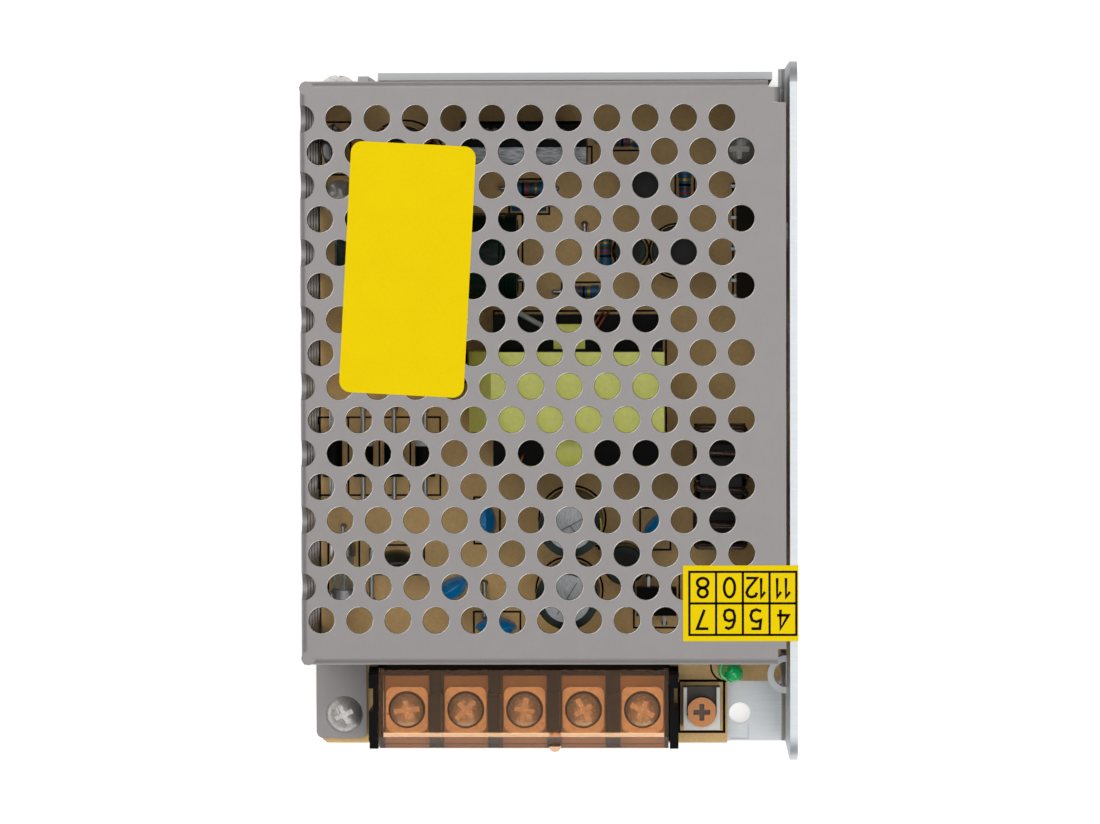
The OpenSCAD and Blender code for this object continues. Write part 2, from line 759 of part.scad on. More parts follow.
board_leads = flat([
    drilled([for (x = pole_x) [x, contact_pin_y]], contact_pin[0] * 1.2),
    drilled(bobbin_pin_at(), thick_lead_d),
    drilled(flat([for (p = out_cap_at) pair(p, out_cap_lead_pitch, 90)]), thick_lead_d),
    drilled(flat([for (p = diode_at) pair(p, diode_span, 90)]), thick_lead_d),
    drilled(pair([bulk_x0 + bulk_l + bulk_lead_out, bulk_y], bulk_lead_pitch, 90), thick_lead_d),
    drilled(flat([for (x = transistor_x) to220_lead_at(x, transistor_lead_y)]), component_lead_d),
    drilled(rectifier_lead_at(), component_lead_d),
    drilled(sink_foot_at(), sink_foot_d),
    drilled(pair(choke_at, choke_d - 3, 90), choke_wire),
    drilled(line_choke_lead_at(), component_lead_d),
    drilled(pair(film_cap_at, film_cap_lead_pitch), component_lead_d),
    drilled(flat([for (i = [0 : 3]) pair(disc_at[i], disc_lead_pitch, disc_angle[i])]),
        component_lead_d),
    drilled(pair(fuse_at, fuse_span, 90), component_lead_d),
    drilled(pair(thermistor_at, disc_lead_pitch, 0), component_lead_d),
    drilled(pair(varistor_at, disc_lead_pitch, 90), component_lead_d),
    drilled(flat([for (i = [0 : 5]) pair(resistor_at[i], resistor_span, resistor_angle[i])]),
        component_lead_d),
    drilled(flat([for (p = small_cap_at) pair(p, small_cap_lead_pitch, 0)]), component_lead_d),
    drilled(chip_pin_at(chip_at, chip_row, chip_pins, true), component_lead_d),
    drilled(chip_pin_at(opto_at, chip_row, opto_pins, false), component_lead_d),
    drilled(jumper_ends(), jumper_d),
    drilled(trimmer_pin_at(), component_lead_d),
    drilled(pair(led_at, dip_pitch, led_direction + 90), component_lead_d)
]);

module insulation_film() {
    color([0.12, 0.12, 0.13]) translate([0, 0, chassis_t]) linear_extrude(film_t) difference() {
        box2([base_x0 + 1.2, cover_y0 - 1], [wall_out - fold_out - 0.3, base_y1 - 0.5]);
        for (p = standoff_at) translate(p) circle(d = standoff_d + 1);
    }
}

module board_standoffs() {
    color([0.72, 0.72, 0.74]) for (p = standoff_at) translate(p) difference() {
        union() {
            cylinder(d = standoff_shank_d, h = chassis_t);
            translate([0, 0, chassis_t]) cylinder(d = standoff_d, h = standoff_h);
        }
        translate([0, 0, -over]) cylinder(d = screw_d, h = board_z + 2 * over);
    }
}

module board_outline() {
    difference() {
        box2([board_x0, board_y0], [board_x1, board_y1]);
        box2([notch_x, board_y0 - over], [board_x1 + over, notch_y]);
        translate([board_x0, board_y0]) rotate(45) square(board_corner * sqrt(2), center = true);
    }
}

module circuit_board() {
    color([0.72, 0.58, 0.36]) translate([0, 0, board_z]) linear_extrude(board_t) difference() {
        board_outline();
        for (p = standoff_at) translate(p) circle(d = screw_d + 0.3);
        for (p = board_leads) translate([p[0], p[1]]) circle(d = p[2] + 2 * lead_gap, $fn = 24);
    }
}

module board_screws() {
    color([0.75, 0.75, 0.76]) for (p = board_screw_at) translate([p[0], p[1], board_top])
        pan_screw(shank_l);
}

module cover_screws() {
    color([0.78, 0.78, 0.79]) {
        translate([front_screw[0], front_screw[1], board_top + cover_t]) rotate(25)
            pan_screw(shank_l + cover_t);
        translate([front_screw[0], cover_y1, rear_screw_z]) rotate([-90, 0, 0]) rotate(20)
            pan_screw(rear_screw_l, [head_d, rear_head_h]);
    }
}

// ---------------------------------------------------------------- terminal block

// Barrier between two poles: chamfered under the cover's skirt, low at the hinge
module barrier_outline() {
    polygon([
        [terminal_y0 + 0.2, board_top + 2], [terminal_y0 + 0.2, lid_skirt_foot - 0.4],
        [terminal_y0 + 1.5, lid_skirt_foot - 0.4], [terminal_y0 + 3, barrier_z],
        [hinge_y - hinge_sweep_r, barrier_z], [hinge_y - hinge_sweep_r, hinge_z - hinge_sweep_r],
        [terminal_y1, hinge_z - hinge_sweep_r], [terminal_y1, board_top + 2]
    ]);
}

module terminal_end(s) {
    x = terminal_x + s * (terminal_in + terminal_end_t / 2);
    difference() {
        along_x(x - terminal_end_t / 2, x + terminal_end_t / 2) difference() {
            union() {
                box2([terminal_y0, board_top], [terminal_y1, hinge_z]);
                box2([terminal_y0 + 1.4, board_top], [terminal_y1 - 1.2, lid_top - 0.2]);
                translate([terminal_y1 - 1.2, hinge_z]) circle(1.2);
            }
            translate([hinge_y, hinge_z]) circle(d = hinge_pin_d + 2 * thread_gap);
        }
        translate([x + s * terminal_end_t / 2, (terminal_y0 + terminal_y1) / 2 + 1.4, lid_top / 2])
            cube([terminal_end_t, end_recess_l, lid_top + over], center = true);
    }
}

module terminal_body() {
    color([0.07, 0.07, 0.08]) {
        difference() {
            union() {
                translate([terminal_x - terminal_in, terminal_y0 + 0.6, board_top])
                    cube([2 * terminal_in, terminal_l - 0.6, terminal_floor_h]);
                translate([terminal_x - terminal_in, terminal_y1 - 1.4, board_top])
                    cube([2 * terminal_in, 1.4, hinge_z - hinge_sweep_r - board_top]);
                for (i = [0 : poles - 2])
                    along_x(pole_x[i] + pocket_w / 2, pole_x[i + 1] - pocket_w / 2)
                    barrier_outline();
                for (s = [-1, 1]) terminal_end(s);
            }
            for (x = pole_x) {
                translate([x, terminal_screw_y, board_top + 1])
                    cylinder(d = screw_d + 1, h = terminal_floor_h);
                translate([x - contact_pin[0] / 2 - lead_gap,
                    contact_pin_y - contact_pin[1] / 2 - lead_gap,
                    board_top - over]) cube([contact_pin[0] + 2 * lead_gap,
                    contact_pin[1] + 2 * lead_gap, terminal_floor_h + 2 * over]);
            }
        }
    }
}

module terminal_contacts() {
    y0 = terminal_y0 + 0.9;
    y1 = terminal_y1 - 2;
    color([0.80, 0.78, 0.72]) for (x = pole_x) difference() {
        union() {
            translate([x - clamp_w / 2 - 0.2, y0, floor_z])
                cube([clamp_w + 0.4, y1 - y0, contact_t]);
            translate([x - contact_pin[0] / 2, contact_pin_y - contact_pin[1] / 2, lead_foot])
                cube([contact_pin[0], contact_pin[1], floor_z - lead_foot + contact_t / 2]);
        }
        translate([x, terminal_screw_y, floor_z - over])
            cylinder(d = screw_d, h = contact_t + 2 * over);
    }
}

module clamp_plate(n) {
    y0 = terminal_screw_y - clamp_l / 2;
    color([0.82, 0.80, 0.74]) translate([pole_x[n - 1] - clamp_w / 2, y0, clamp_z]) difference() {
        union() {
            linear_extrude(clamp_t) round_rect([clamp_w, clamp_l], clamp_corner_r);
            for (y = [0, clamp_l - clamp_rib]) translate([clamp_corner_r, y, 0])
                cube([clamp_w - 2 * clamp_corner_r, clamp_rib, clamp_t + clamp_rib_h]);
        }
        translate([clamp_w / 2, clamp_l / 2, -over])
            cylinder(d = screw_d + 0.1, h = clamp_t + 2 * over);
    }
}

module terminal_screw(n) {
    color([0.80, 0.76, 0.70]) translate([pole_x[n - 1], terminal_screw_y, terminal_head_z])
        rotate(37 * n - 30) {
        pan_screw(terminal_shank_l, [terminal_head_d, terminal_head_h], 0.9);
    }
}

module lid_section() {
    y_rear = hinge_y + 1.3;
    y_knee = terminal_y0 + lid_slope;
    polygon([
        [y_rear, lid_top], [y_knee, lid_top], [terminal_y0, lid_skirt_foot],
        [terminal_y0 + lid_t, lid_skirt_foot], [y_knee + lid_t * 0.6, lid_top - lid_t],
        [y_rear, lid_top - lid_t]
    ]);
}

module lid_end_section() {
    polygon([
        [hinge_y, lid_top - 0.01], [terminal_y0 + lid_slope + 0.3, lid_top - 0.01],
        [terminal_y0 + lid_t, lid_skirt_foot], [hinge_y, hinge_z - 1.4]
    ]);
    translate([hinge_y, hinge_z]) circle(1.4);
    box2([hinge_y, hinge_z], [hinge_y + 1.3, lid_top - 0.01]);
}

module terminal_cover() {
    end_t = lid_t * 0.7;
    color([0.72, 0.42, 0.20, 0.75]) {
        along_x(terminal_x - lid_half_w, terminal_x + lid_half_w) lid_section();
        for (s = [-1, 1]) {
            x = terminal_x + s * (lid_half_w - end_t / 2);
            along_x(x - end_t / 2, x + end_t / 2) lid_end_section();
            translate([terminal_x + s * (terminal_in + 0.5), hinge_y, hinge_z]) rotate([0, 90, 0])
                cylinder(d = hinge_pin_d, h = 2 * (0.5 + lid_gap) + 0.6, center = true);
        }
        translate([terminal_x + lid_nub[0], terminal_y0 + lid_t / 2, lid_skirt_foot])
            cylinder(d = lid_nub[1], h = lid_nub[2]);
    }
}

// ---------------------------------------------------------------- trimmer and lamp

// Open at the rear, where its two side walls stand clear of each other
module trimmer_body() {
    well_d = rotor_d + 2 * air;
    color([0.86, 0.86, 0.84]) {
        translate([trimmer_at[0], trimmer_at[1], board_top]) difference() {
            translate([-trimmer_w / 2, -trimmer_l / 2, trimmer_stand])
                cube([trimmer_w, trimmer_l, trimmer_h - trimmer_stand]);
            translate([0, rotor_at[1] - trimmer_at[1], trimmer_h - rotor_depth])
                cylinder(d = well_d, h = rotor_depth + over);
            translate([-well_d / 2, rotor_at[1] - trimmer_at[1], trimmer_h - trimmer_frame_h])
                cube([well_d, trimmer_l, trimmer_frame_h + over]);
        }
        leads(trimmer_pin_at(), board_top + trimmer_stand + 0.2);
    }
}

// Stem in the well, and a head with two flats over the frame
module trimmer_rotor() {
    z0 = trimmer_h - rotor_depth + thread_gap;
    head_z = trimmer_h + air;
    top = trimmer_h + rotor_rise;
    color([0.80, 0.42, 0.12]) translate([rotor_at[0], rotor_at[1], board_top]) difference() {
        union() {
            translate([0, 0, z0]) cylinder(d = rotor_d, h = head_z - z0 + 0.1);
            translate([0, 0, head_z]) linear_extrude(top - head_z) intersection() {
                circle(d = rotor_head[1]);
                square([rotor_head[0], rotor_head[1]], center = true);
            }
        }
        for (a = [0, 90]) rotate(a) translate([-cross_slot[0] / 2, -cross_slot[1] / 2, top - cross_slot[2]])
            cube([cross_slot[0], cross_slot[1], over]);
    }
}

// Half profile of the lamp's lens, with its flange
module lens_profile() {
    r = led_d / 2;
    square([r + 0.4, 0.9]);
    square([r, led_h - r]);
    translate([0, led_h - r]) intersection() {
        circle(r);
        square(r);
    }
}

module power_led() {
    feet = pair(led_at, dip_pitch, led_direction + 90);
    color([0.10, 0.62, 0.30]) {
        translate([led_at[0], led_at[1], board_top]) rotate([0, 0, led_direction])
            rotate([0, led_lean, 0]) {
            translate([0, 0, led_stand]) rotate_extrude() lens_profile();
            for (s = [-0.5, 0.5]) translate([0, s * dip_pitch, 0]) {
                cylinder(d = led_lead_d, h = led_stand + 0.2, $fn = 24);
                sphere(d = led_lead_d + 0.2, $fn = 24);
            }
        }
        leads(feet, board_top, led_lead_d);
    }
}

// ---------------------------------------------------------------- transformer

// Two E halves: yokes above and below, outer legs and a round centre leg
module transformer_core() {
    z1 = trafo_z0 + core_h;
    color([0.13, 0.13, 0.14]) translate([trafo_at[0], trafo_at[1], 0]) {
        for (z = [trafo_z0, z1 - yoke_h]) translate([-core_w / 2, -core_d / 2, z])
            cube([core_w, core_d, yoke_h]);
        for (x = [-core_w / 2, core_w / 2 - core_leg]) translate([x, -core_d / 2, trafo_z0])
            cube([core_leg, core_d, core_h]);
        translate([0, 0, trafo_z0]) cylinder(d = centre_leg_w, h = core_h);
    }
}

module transformer_bobbin() {
    window_z0 = trafo_z0 + yoke_h;
    window_z1 = trafo_z0 + core_h - yoke_h;
    flange_w = core_w - 2 * core_leg - 2 * fit;
    color([0.08, 0.08, 0.09]) translate([trafo_at[0], trafo_at[1], 0]) difference() {
        union() {
            for (z = [window_z0 + fit, window_z1 - fit - bobbin_wall]) translate([0, 0, z])
                linear_extrude(bobbin_wall) {
                square([flange_w, bobbin_l], center = true);
                for (s = [-1, 1])
                    translate([-core_w / 2, s > 0 ? core_d / 2 + 2 * fit : -bobbin_l / 2])
                    square([core_w, bobbin_l / 2 - core_d / 2 - 2 * fit]);
            }
            translate([0, 0, window_z0 + fit])
                cylinder(d = centre_leg_w + 2 * fit + 2 * bobbin_wall,
                h = window_z1 - window_z0 - 2 * fit);
            for (s = [-1, 1])
                translate([-core_w / 2, s > 0 ? bobbin_l / 2 - 4 : -bobbin_l / 2, board_top])
                cube([core_w, 4, window_z0 + fit + bobbin_wall - board_top]);
        }
        translate([0, 0, board_top])
            cylinder(d = centre_leg_w + 2 * fit, h = core_h + trafo_foot + over);
        translate([-core_w, -core_d / 2 - 2 * fit - 0.01, board_top - over])
            cube([2 * core_w, core_d + 4 * fit + 0.02, window_z0 - board_top + over]);
    }
    color([0.75, 0.75, 0.76]) leads(bobbin_pin_at(), board_top + 1, 0.8);
}

module transformer_winding() {
    z0 = trafo_z0 + yoke_h + fit + bobbin_wall;
    z1 = trafo_z0 + core_h - yoke_h - fit - bobbin_wall;
    d = core_w - 2 * core_leg - 2 * air;
    color([0.80, 0.74, 0.25]) translate([trafo_at[0], trafo_at[1], z0 + 0.05])
        linear_extrude(z1 - z0 - 0.1) difference() {
        union() {
            for (s = [-1, 1]) translate([0, s * 1.6]) circle(d = d);
            square([d, 3.2], center = true);
        }
        circle(d = centre_leg_w + 2 * fit + 2 * bobbin_wall + 0.02);
    }
}

// Tape round the core, stretched down to the left over the winding ends
module transformer_tape() {
    z0 = trafo_z0 - tape_t - 0.02;
    z1 = trafo_z0 + core_h + tape_t + 0.02;
    w = core_w / 2 + 0.02;
    foot = -w - tape_slope_w;
    color([0.82, 0.84, 0.36]) translate([trafo_at[0], 0, 0]) {
        along_y(trafo_at[1] - core_d / 2 + 0.1, trafo_at[1] + core_d / 2 - 0.1) difference() {
            polygon([[w + tape_t, z0], [w + tape_t, z1], [-w - tape_t, z1], [foot - tape_t, z1 - 8],
                [foot - tape_t, z0]]);
            polygon([[w, z0 + tape_t], [w, z1 - tape_t], [-w, z1 - tape_t],
                [foot, z1 - 8 - tape_t * 0.5], [foot, z0 + tape_t]]);
        }
    }
}

// ---------------------------------------------------------------- capacitors

// Can profile of an electrolytic capacitor, from its rubber seal to its top
module can_profile(d, h) {
    r = d / 2;
    bead = 0.25;
    difference() {
        union() {
            square([r - 0.4, h]);
            translate([0, 0.4]) square([r, h - 0.8]);
            for (z = [0.4, h - 0.4]) translate([r - 0.4, z]) circle(0.4, $fn = 32);
        }
        translate([r + bead, 2.4]) circle(bead * 2.2, $fn = 32);
    }
}

module electrolytic(d, h) {
    difference() {
        rotate_extrude() can_profile(d, h);
        for (a = [0, 120, 240]) rotate(a) translate([-0.15, 0, h - 0.15])
            cube([0.3, d * 0.36, over]);
    }
}

module bulk_capacitor() {
    z = board_top + bulk_d / 2 + 0.2;
    seal_x = bulk_x0 + bulk_l;
    lead_x = seal_x + bulk_lead_out;
    color([0.07, 0.12, 0.11]) {
        translate([seal_x, bulk_y, z]) rotate([0, -90, 0]) electrolytic(bulk_d, bulk_l);
        for (s = [-1, 1]) {
            y = bulk_y + s * bulk_lead_pitch / 2;
            translate([seal_x - over, y, z]) rotate([0, 90, 0])
                cylinder(d = thick_lead_d, h = bulk_lead_out + over, $fn = 24);
            translate([lead_x, y, z]) sphere(d = thick_lead_d, $fn = 24);
            translate([lead_x, y, lead_foot]) cylinder(d = thick_lead_d, h = z - lead_foot, $fn = 24);
        }
    }
}

module output_capacitor_cans() {
    color([0.80, 0.81, 0.82]) {
        for (p = out_cap_at) translate([p[0], p[1], board_top])
            electrolytic(out_cap_d - 2 * sleeve_t, out_cap_h);
        leads(flat([for (p = out_cap_at) pair(p, out_cap_lead_pitch, 90)]), board_top + 0.5,
            thick_lead_d);
    }
}

module output_capacitor_sleeves() {
    color([0.06, 0.15, 0.11]) for (p = out_cap_at) translate([p[0], p[1], board_top])
        rotate_extrude() {
        translate([out_cap_d / 2 - sleeve_t + 0.01, 0.3]) square([sleeve_t - 0.01, out_cap_h - 0.3]);
        translate([out_cap_d / 2 - 1.2, out_cap_h + 0.01]) square([1.2, 0.15]);
    }
}

module small_capacitors() {
    color([0.08, 0.08, 0.09]) {
        for (i = [0 : 3]) translate([small_cap_at[i][0], small_cap_at[i][1], board_top])
            electrolytic(small_cap_size[i][0], small_cap_size[i][1]);
        leads(flat([for (p = small_cap_at) pair(p, small_cap_lead_pitch, 0)]), board_top + 0.5);
    }
}

// Lens-shaped disc on two leads
module disc_part(at, d, t, angle) {
    lens_r = (d * d / 4 + t * t / 4) / t;
    z = board_top + disc_stand + d / 2;
    translate([at[0], at[1], z]) rotate([90, 0, angle]) intersection() {
        translate([0, 0, t / 2 - lens_r]) sphere(lens_r, $fn = 96);
        translate([0, 0, lens_r - t / 2]) sphere(lens_r, $fn = 96);
        cylinder(d = d * 0.97, h = 2 * t, center = true);
    }
    leads(pair(at, disc_lead_pitch, angle), z - d * 0.18);
}

module disc_capacitors() {
    color([0.10, 0.42, 0.72]) for (i = [0 : 3])
        disc_part(disc_at[i], disc_d, disc_t, disc_angle[i]);
}

module film_capacitor() {
    color([0.80, 0.66, 0.18]) {
        translate([film_cap_at[0] - film_cap[0] / 2, film_cap_at[1] - film_cap[1] / 2, board_top])
            difference() {
            cube(film_cap);
            translate([0.8, 0.8, -over]) cube([film_cap[0] - 1.6, film_cap[1] - 1.6, over + 0.5]);
        }
        leads(pair(film_cap_at, film_cap_lead_pitch), board_top + 1);
    }
}

// ---------------------------------------------------------------- power parts

module bridge_diodes() {
    color([0.07, 0.07, 0.08]) for (p = diode_at)
        axial_part(p, diode_d, diode_l, diode_span, 90, thick_lead_d);
}

module heat_sink() {
    color([0.76, 0.79, 0.81]) difference() {
        union() {
            translate([sink_x[0], sink_y, board_top]) cube([sink_x[1] - sink_x[0], sink_t, sink_h]);
            leads(sink_foot_at(), board_top + over, sink_foot_d);
        }
        for (x = transistor_x)
            translate([x, sink_y - over, transistor_z + to220_tab[2] - to220_hole_drop])
            rotate([-90, 0, 0]) cylinder(d = screw_d, h = sink_t + 2 * over);
    }
}

// TO-220 part that stands on its leads: its tab's back face is at y = 0
module to220_part() {
    tab = to220_tab;
    difference() {
        union() {
            translate([-tab[0] / 2, 0, to220[2] - 1]) cube([tab[0], tab[1], tab[2] - to220[2] + 1]);
            along_x(-to220[0] / 2, to220[0] / 2)
                polygon([[0, 0], [to220[1], 0], [to220[1], to220[2] - 0.8],
                [to220[1] - 0.5, to220[2]], [0, to220[2]]]);
        }
        translate([0, -over, tab[2] - to220_hole_drop]) rotate([-90, 0, 0])
            cylinder(d = to220_hole_d, h = to220[1] + 2 * over);
    }
    for (i = [-1, 0, 1]) 
        translate([i * to220_lead_pitch, to220_lead_out, lead_foot - transistor_z])
        cylinder(d = component_lead_d, h = transistor_z - lead_foot + over, $fn = 24);
}

module switching_transistors() {
    color([0.06, 0.06, 0.07]) for (x = transistor_x) translate([x, sink_y + sink_t, transistor_z])
        to220_part();
}

module transistor_screws() {
    color([0.75, 0.75, 0.76]) for (x = transistor_x) {
        translate([x, sink_y + sink_t + to220_tab[1],
            transistor_z + to220_tab[2] - to220_hole_drop]) rotate([-90, 0, 0])
            pan_screw(to220_tab[1] + sink_t - 0.2);
    }
}

module output_rectifier() {
    color([0.06, 0.06, 0.07]) translate([wall_in - pad_t, rectifier_y, rectifier_z]) rotate(90)
        to220_part();
}

module rectifier_pad() {
    color([0.72, 0.74, 0.76]) along_x(wall_in - pad_t, wall_in) difference() {
        box2([rectifier_y - to220[0] / 2 - pad_margin, rectifier_z - pad_margin],
            [rectifier_y + to220[0] / 2 + pad_margin, rectifier_z + to220_tab[2] + pad_margin]);
        translate([rectifier_y, rectifier_hole_z]) circle(d = to220_hole_d);
    }
}

module rectifier_screw() {
    color([0.75, 0.75, 0.76])
        translate([wall_in - pad_t - to220_tab[1], rectifier_y, rectifier_hole_z])
        rotate([0, -90, 0]) pan_screw(to220_tab[1] + pad_t + chassis_t - 0.1);
}

// ---------------------------------------------------------------- chokes

// Ring core that stands on its edge, its axis along X
module output_choke_core() {
    z = board_top + 0.3 + choke_outer_r;
    color([0.10, 0.12, 0.11]) translate([choke_at[0] - choke_t / 2, choke_at[1], z])
        rotate([0, 90, 0]) difference() {
        cylinder(d = choke_d, h = choke_t);
        translate([0, 0, -over]) cylinder(d = choke_bore, h = choke_t + 2 * over);
    }
}

// Turns round the ring's section, spread over all but the foot
module output_choke_winding() {
    z = board_top + 0.3 + choke_outer_r;
    gap = 0.05;
    section = [(choke_d - choke_bore) / 2 + 2 * gap, choke_t + 2 * gap];
    arc = 300;
    color([0.60, 0.30, 0.14]) {
        translate([choke_at[0], choke_at[1], z]) rotate([0, 90, 0])
            for (i = [0 : choke_turns - 1]) {
            rotate(30 + arc * i / (choke_turns - 1))
                translate([(choke_d + choke_bore) / 4, choke_wire / 2, 0]) rotate([90, 0, 0])
                linear_extrude(choke_wire) difference() {
                square([section[0] + 2 * choke_wire, section[1] + 2 * choke_wire], center = true);
                square(section, center = true);
            }
        }
        leads(pair(choke_at, choke_d - 3, 90), z - choke_outer_r + 3.4, choke_wire);
    }
}

module line_choke_core() {
    r = line_choke_r;
    color([0.12, 0.13, 0.12]) translate([line_choke_at[0], line_choke_at[1], board_top + 1])
        difference() {
        cylinder(r = r - 1.2, h = line_choke_h - 2);
        translate([0, 0, -over]) cylinder(r = r * 0.32, h = line_choke_h + 2 * over);
    }
}

// Two windings on opposite sides of the ring
module line_choke_winding() {
    r = line_choke_r;
    gap = 0.05;
    color([0.62, 0.33, 0.16]) {
        translate([line_choke_at[0], line_choke_at[1], board_top + 1])
            for (side = [0, 180], i = [-3 : 3]) {
            rotate(side + i * 18)
                translate([(r - 1.2 + r * 0.32) / 2, 0.35, (line_choke_h - 2) / 2])
                rotate([90, 0, 0]) linear_extrude(0.7) difference() {
                square([r * 0.68 - 1.2 + 2 * gap + 1.4, line_choke_h - 2 + 2 * gap + 1.4],
                    center = true);
                square([r * 0.68 - 1.2 + 2 * gap, line_choke_h - 2 + 2 * gap], center = true);
            }
        }
        leads(line_choke_lead_at(), board_top + 1.5);
    }
}

// ---------------------------------------------------------------- small parts

module fuse() {
    color([0.78, 0.79, 0.80])
        axial_part(fuse_at, fuse_d, fuse_l, fuse_span, 90, component_lead_d, fuse_cap_l);
}

module thermistor() {
    color([0.09, 0.10, 0.10]) disc_part(thermistor_at, varistor_d, varistor_t, 0);
}

module varistor() {
    color([0.07, 0.07, 0.08]) disc_part(varistor_at, varistor_d, varistor_t, 90);
}

module resistors() {
    color([0.14, 0.50, 0.62]) for (i = [0 : 5])
        axial_part(resistor_at[i], resistor_d, resistor_l, resistor_span, resistor_angle[i],
            component_lead_d, resistor_cap_l);
}

// Dual in-line package and its pins
module dip_package(at, size, pins, rows, along_y) {
    translate([at[0] - size[0] / 2, at[1] - size[1] / 2, board_top + dip_stand]) difference() {
        cube(size);
        translate([along_y ? size[0] / 2 : 0, along_y ? size[1] : size[1] / 2, size[2] - 0.4])
            cylinder(d = dip_mark_d, h = over);
    }
    leads(chip_pin_at(at, rows, pins, along_y), board_top + dip_stand + size[2] / 2 + 0.2, dip_pin_w);
    for (p = chip_pin_at(at, rows, pins, along_y)) {
        dx = along_y ? at[0] - p[0] : 0;
        dy = along_y ? 0 : at[1] - p[1];
        reach = [max(abs(dx) - 0.3 * size[0], dip_pin_w), max(abs(dy) - 0.3 * size[1], dip_pin_w)];
        translate([
            min(p[0], p[0] + sign(dx) * reach[0]) - (along_y ? 0 : dip_pin_w / 2),
            min(p[1], p[1] + sign(dy) * reach[1]) - (along_y ? dip_pin_w / 2 : 0),
            board_top + dip_stand + size[2] / 2 - 0.1
        ]) cube([along_y ? reach[0] : dip_pin_w, along_y ? dip_pin_w : reach[1], dip_pin_t]);
    }
}

module control_chip() {
    color([0.06, 0.06, 0.07]) dip_package(chip_at, chip_size, chip_pins, chip_row, true);
}

module optocoupler() {
    color([0.06, 0.06, 0.07]) dip_package(opto_at, opto_size, opto_pins, chip_row, false);
}

module wire_jumpers() {
    rise = board_top + jumper_rise;
    color([0.78, 0.79, 0.80]) {
        for (i = [0 : 2]) translate([jumper_at[i][0], jumper_at[i][1] - jumper_l[i] / 2, rise])
            rotate([-90, 0, 0]) cylinder(d = jumper_d, h = jumper_l[i], $fn = 24);
        for (p = jumper_ends()) translate([p[0], p[1], rise]) sphere(d = jumper_d, $fn = 24);
        leads(jumper_ends(), rise, jumper_d);
    }
}

// ---------------------------------------------------------------- labels

module plain_label() {
    color([0.90, 0.80, 0.04]) translate([cover_x0 + label_at[0], cover_y1 - label_at[1], case_h])
        rotate(label_turn)
        linear_extrude(label_t) {
        translate([-label_w / 2, -label_l / 2]) round_rect([label_w, label_l], label_corner_r);
    }
}

// Label across the cover's edge, with its end turned down over the side wall
module number_label() {
    y0 = cover_y0 + number_label_y - number_label_l / 2;
    x0 = wall_out - number_label_w;
    color([0.90, 0.80, 0.04]) along_y(y0, y0 + number_label_l) {
        box2([x0, case_h], [wall_out + label_t, case_h + label_t]);
        box2([wall_out, case_h - number_label_drop], [wall_out + label_t, case_h + label_t]);
    }
}

// ---------------------------------------------------------------- nodes

chassis();
mesh_cover();
insulation_film();
board_standoffs();
circuit_board();
board_screws();
cover_screws();
terminal_body();
terminal_contacts();
terminal_cover();
clamp_plate(1);  // clamp_plate_1
clamp_plate(2);  // clamp_plate_2
clamp_plate(3);  // clamp_plate_3
clamp_plate(4);  // clamp_plate_4
clamp_plate(5);  // clamp_plate_5
terminal_screw(1);  // terminal_screw_1
terminal_screw(2);  // terminal_screw_2
terminal_screw(3);  // terminal_screw_3
terminal_screw(4);  // terminal_screw_4
terminal_screw(5);  // terminal_screw_5
trimmer_body();
trimmer_rotor();
power_led();
transformer_core();
transformer_bobbin();
transformer_winding();
transformer_tape();
bulk_capacitor();
output_capacitor_cans();
output_capacitor_sleeves();
bridge_diodes();
heat_sink();
switching_transistors();
transistor_screws();
output_rectifier();
rectifier_pad();
rectifier_screw();
output_choke_core();
output_choke_winding();
line_choke_core();
line_choke_winding();
film_capacitor();
disc_capacitors();
fuse();
thermistor();
varistor();
resistors();
small_capacitors();
control_chip();
optocoupler();
wire_jumpers();
plain_label();
number_label();
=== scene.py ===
"""Looks of a mesh-case switching power supply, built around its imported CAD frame."""
import json
import math

import bmesh
import bpy
from mathutils import Euler, Matrix, Vector


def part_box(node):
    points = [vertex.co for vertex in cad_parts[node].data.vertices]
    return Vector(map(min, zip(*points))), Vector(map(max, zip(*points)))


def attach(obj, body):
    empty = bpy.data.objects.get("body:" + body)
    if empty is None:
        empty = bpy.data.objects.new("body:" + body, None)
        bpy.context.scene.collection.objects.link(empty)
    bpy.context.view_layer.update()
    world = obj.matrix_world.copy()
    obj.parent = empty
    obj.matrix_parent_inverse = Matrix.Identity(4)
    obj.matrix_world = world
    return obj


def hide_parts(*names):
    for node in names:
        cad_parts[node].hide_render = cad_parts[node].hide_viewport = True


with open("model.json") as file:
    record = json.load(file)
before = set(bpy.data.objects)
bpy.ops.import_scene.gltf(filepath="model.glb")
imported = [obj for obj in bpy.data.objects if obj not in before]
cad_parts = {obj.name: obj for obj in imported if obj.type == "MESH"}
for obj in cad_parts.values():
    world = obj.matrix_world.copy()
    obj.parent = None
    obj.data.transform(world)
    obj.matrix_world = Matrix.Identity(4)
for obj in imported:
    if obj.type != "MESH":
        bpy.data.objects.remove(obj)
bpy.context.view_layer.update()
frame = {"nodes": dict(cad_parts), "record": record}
nodes = frame["nodes"]
MM = 0.001
TAU = 2 * math.pi
ROOT = "supply"
POLES = 5


# ---------------------------------------------------------------- camera, floor and light

# fitted to the vents of the photograph: metres, degrees, and mm for the lens
CAMERA_AT = (0.0184, 0.0237, 0.7969)
CAMERA_TURN = (-1.7817, 1.3660, -0.1343)
LENS, SENSOR = 158.98, 36
FLOOR_HALF = 6
FLOOR_GLOW = 0.5
WORLD_STRENGTH = 0.3
# name, place in metres, side in metres, watts
LIGHTS = (("key", (-0.45, 0.55, 0.9), 0.7, 3.9),
          ("fill", (0.6, -0.5, 0.8), 0.8, 4.2),
          ("top", (0.05, 0.1, 1.2), 1.0, 4.6))


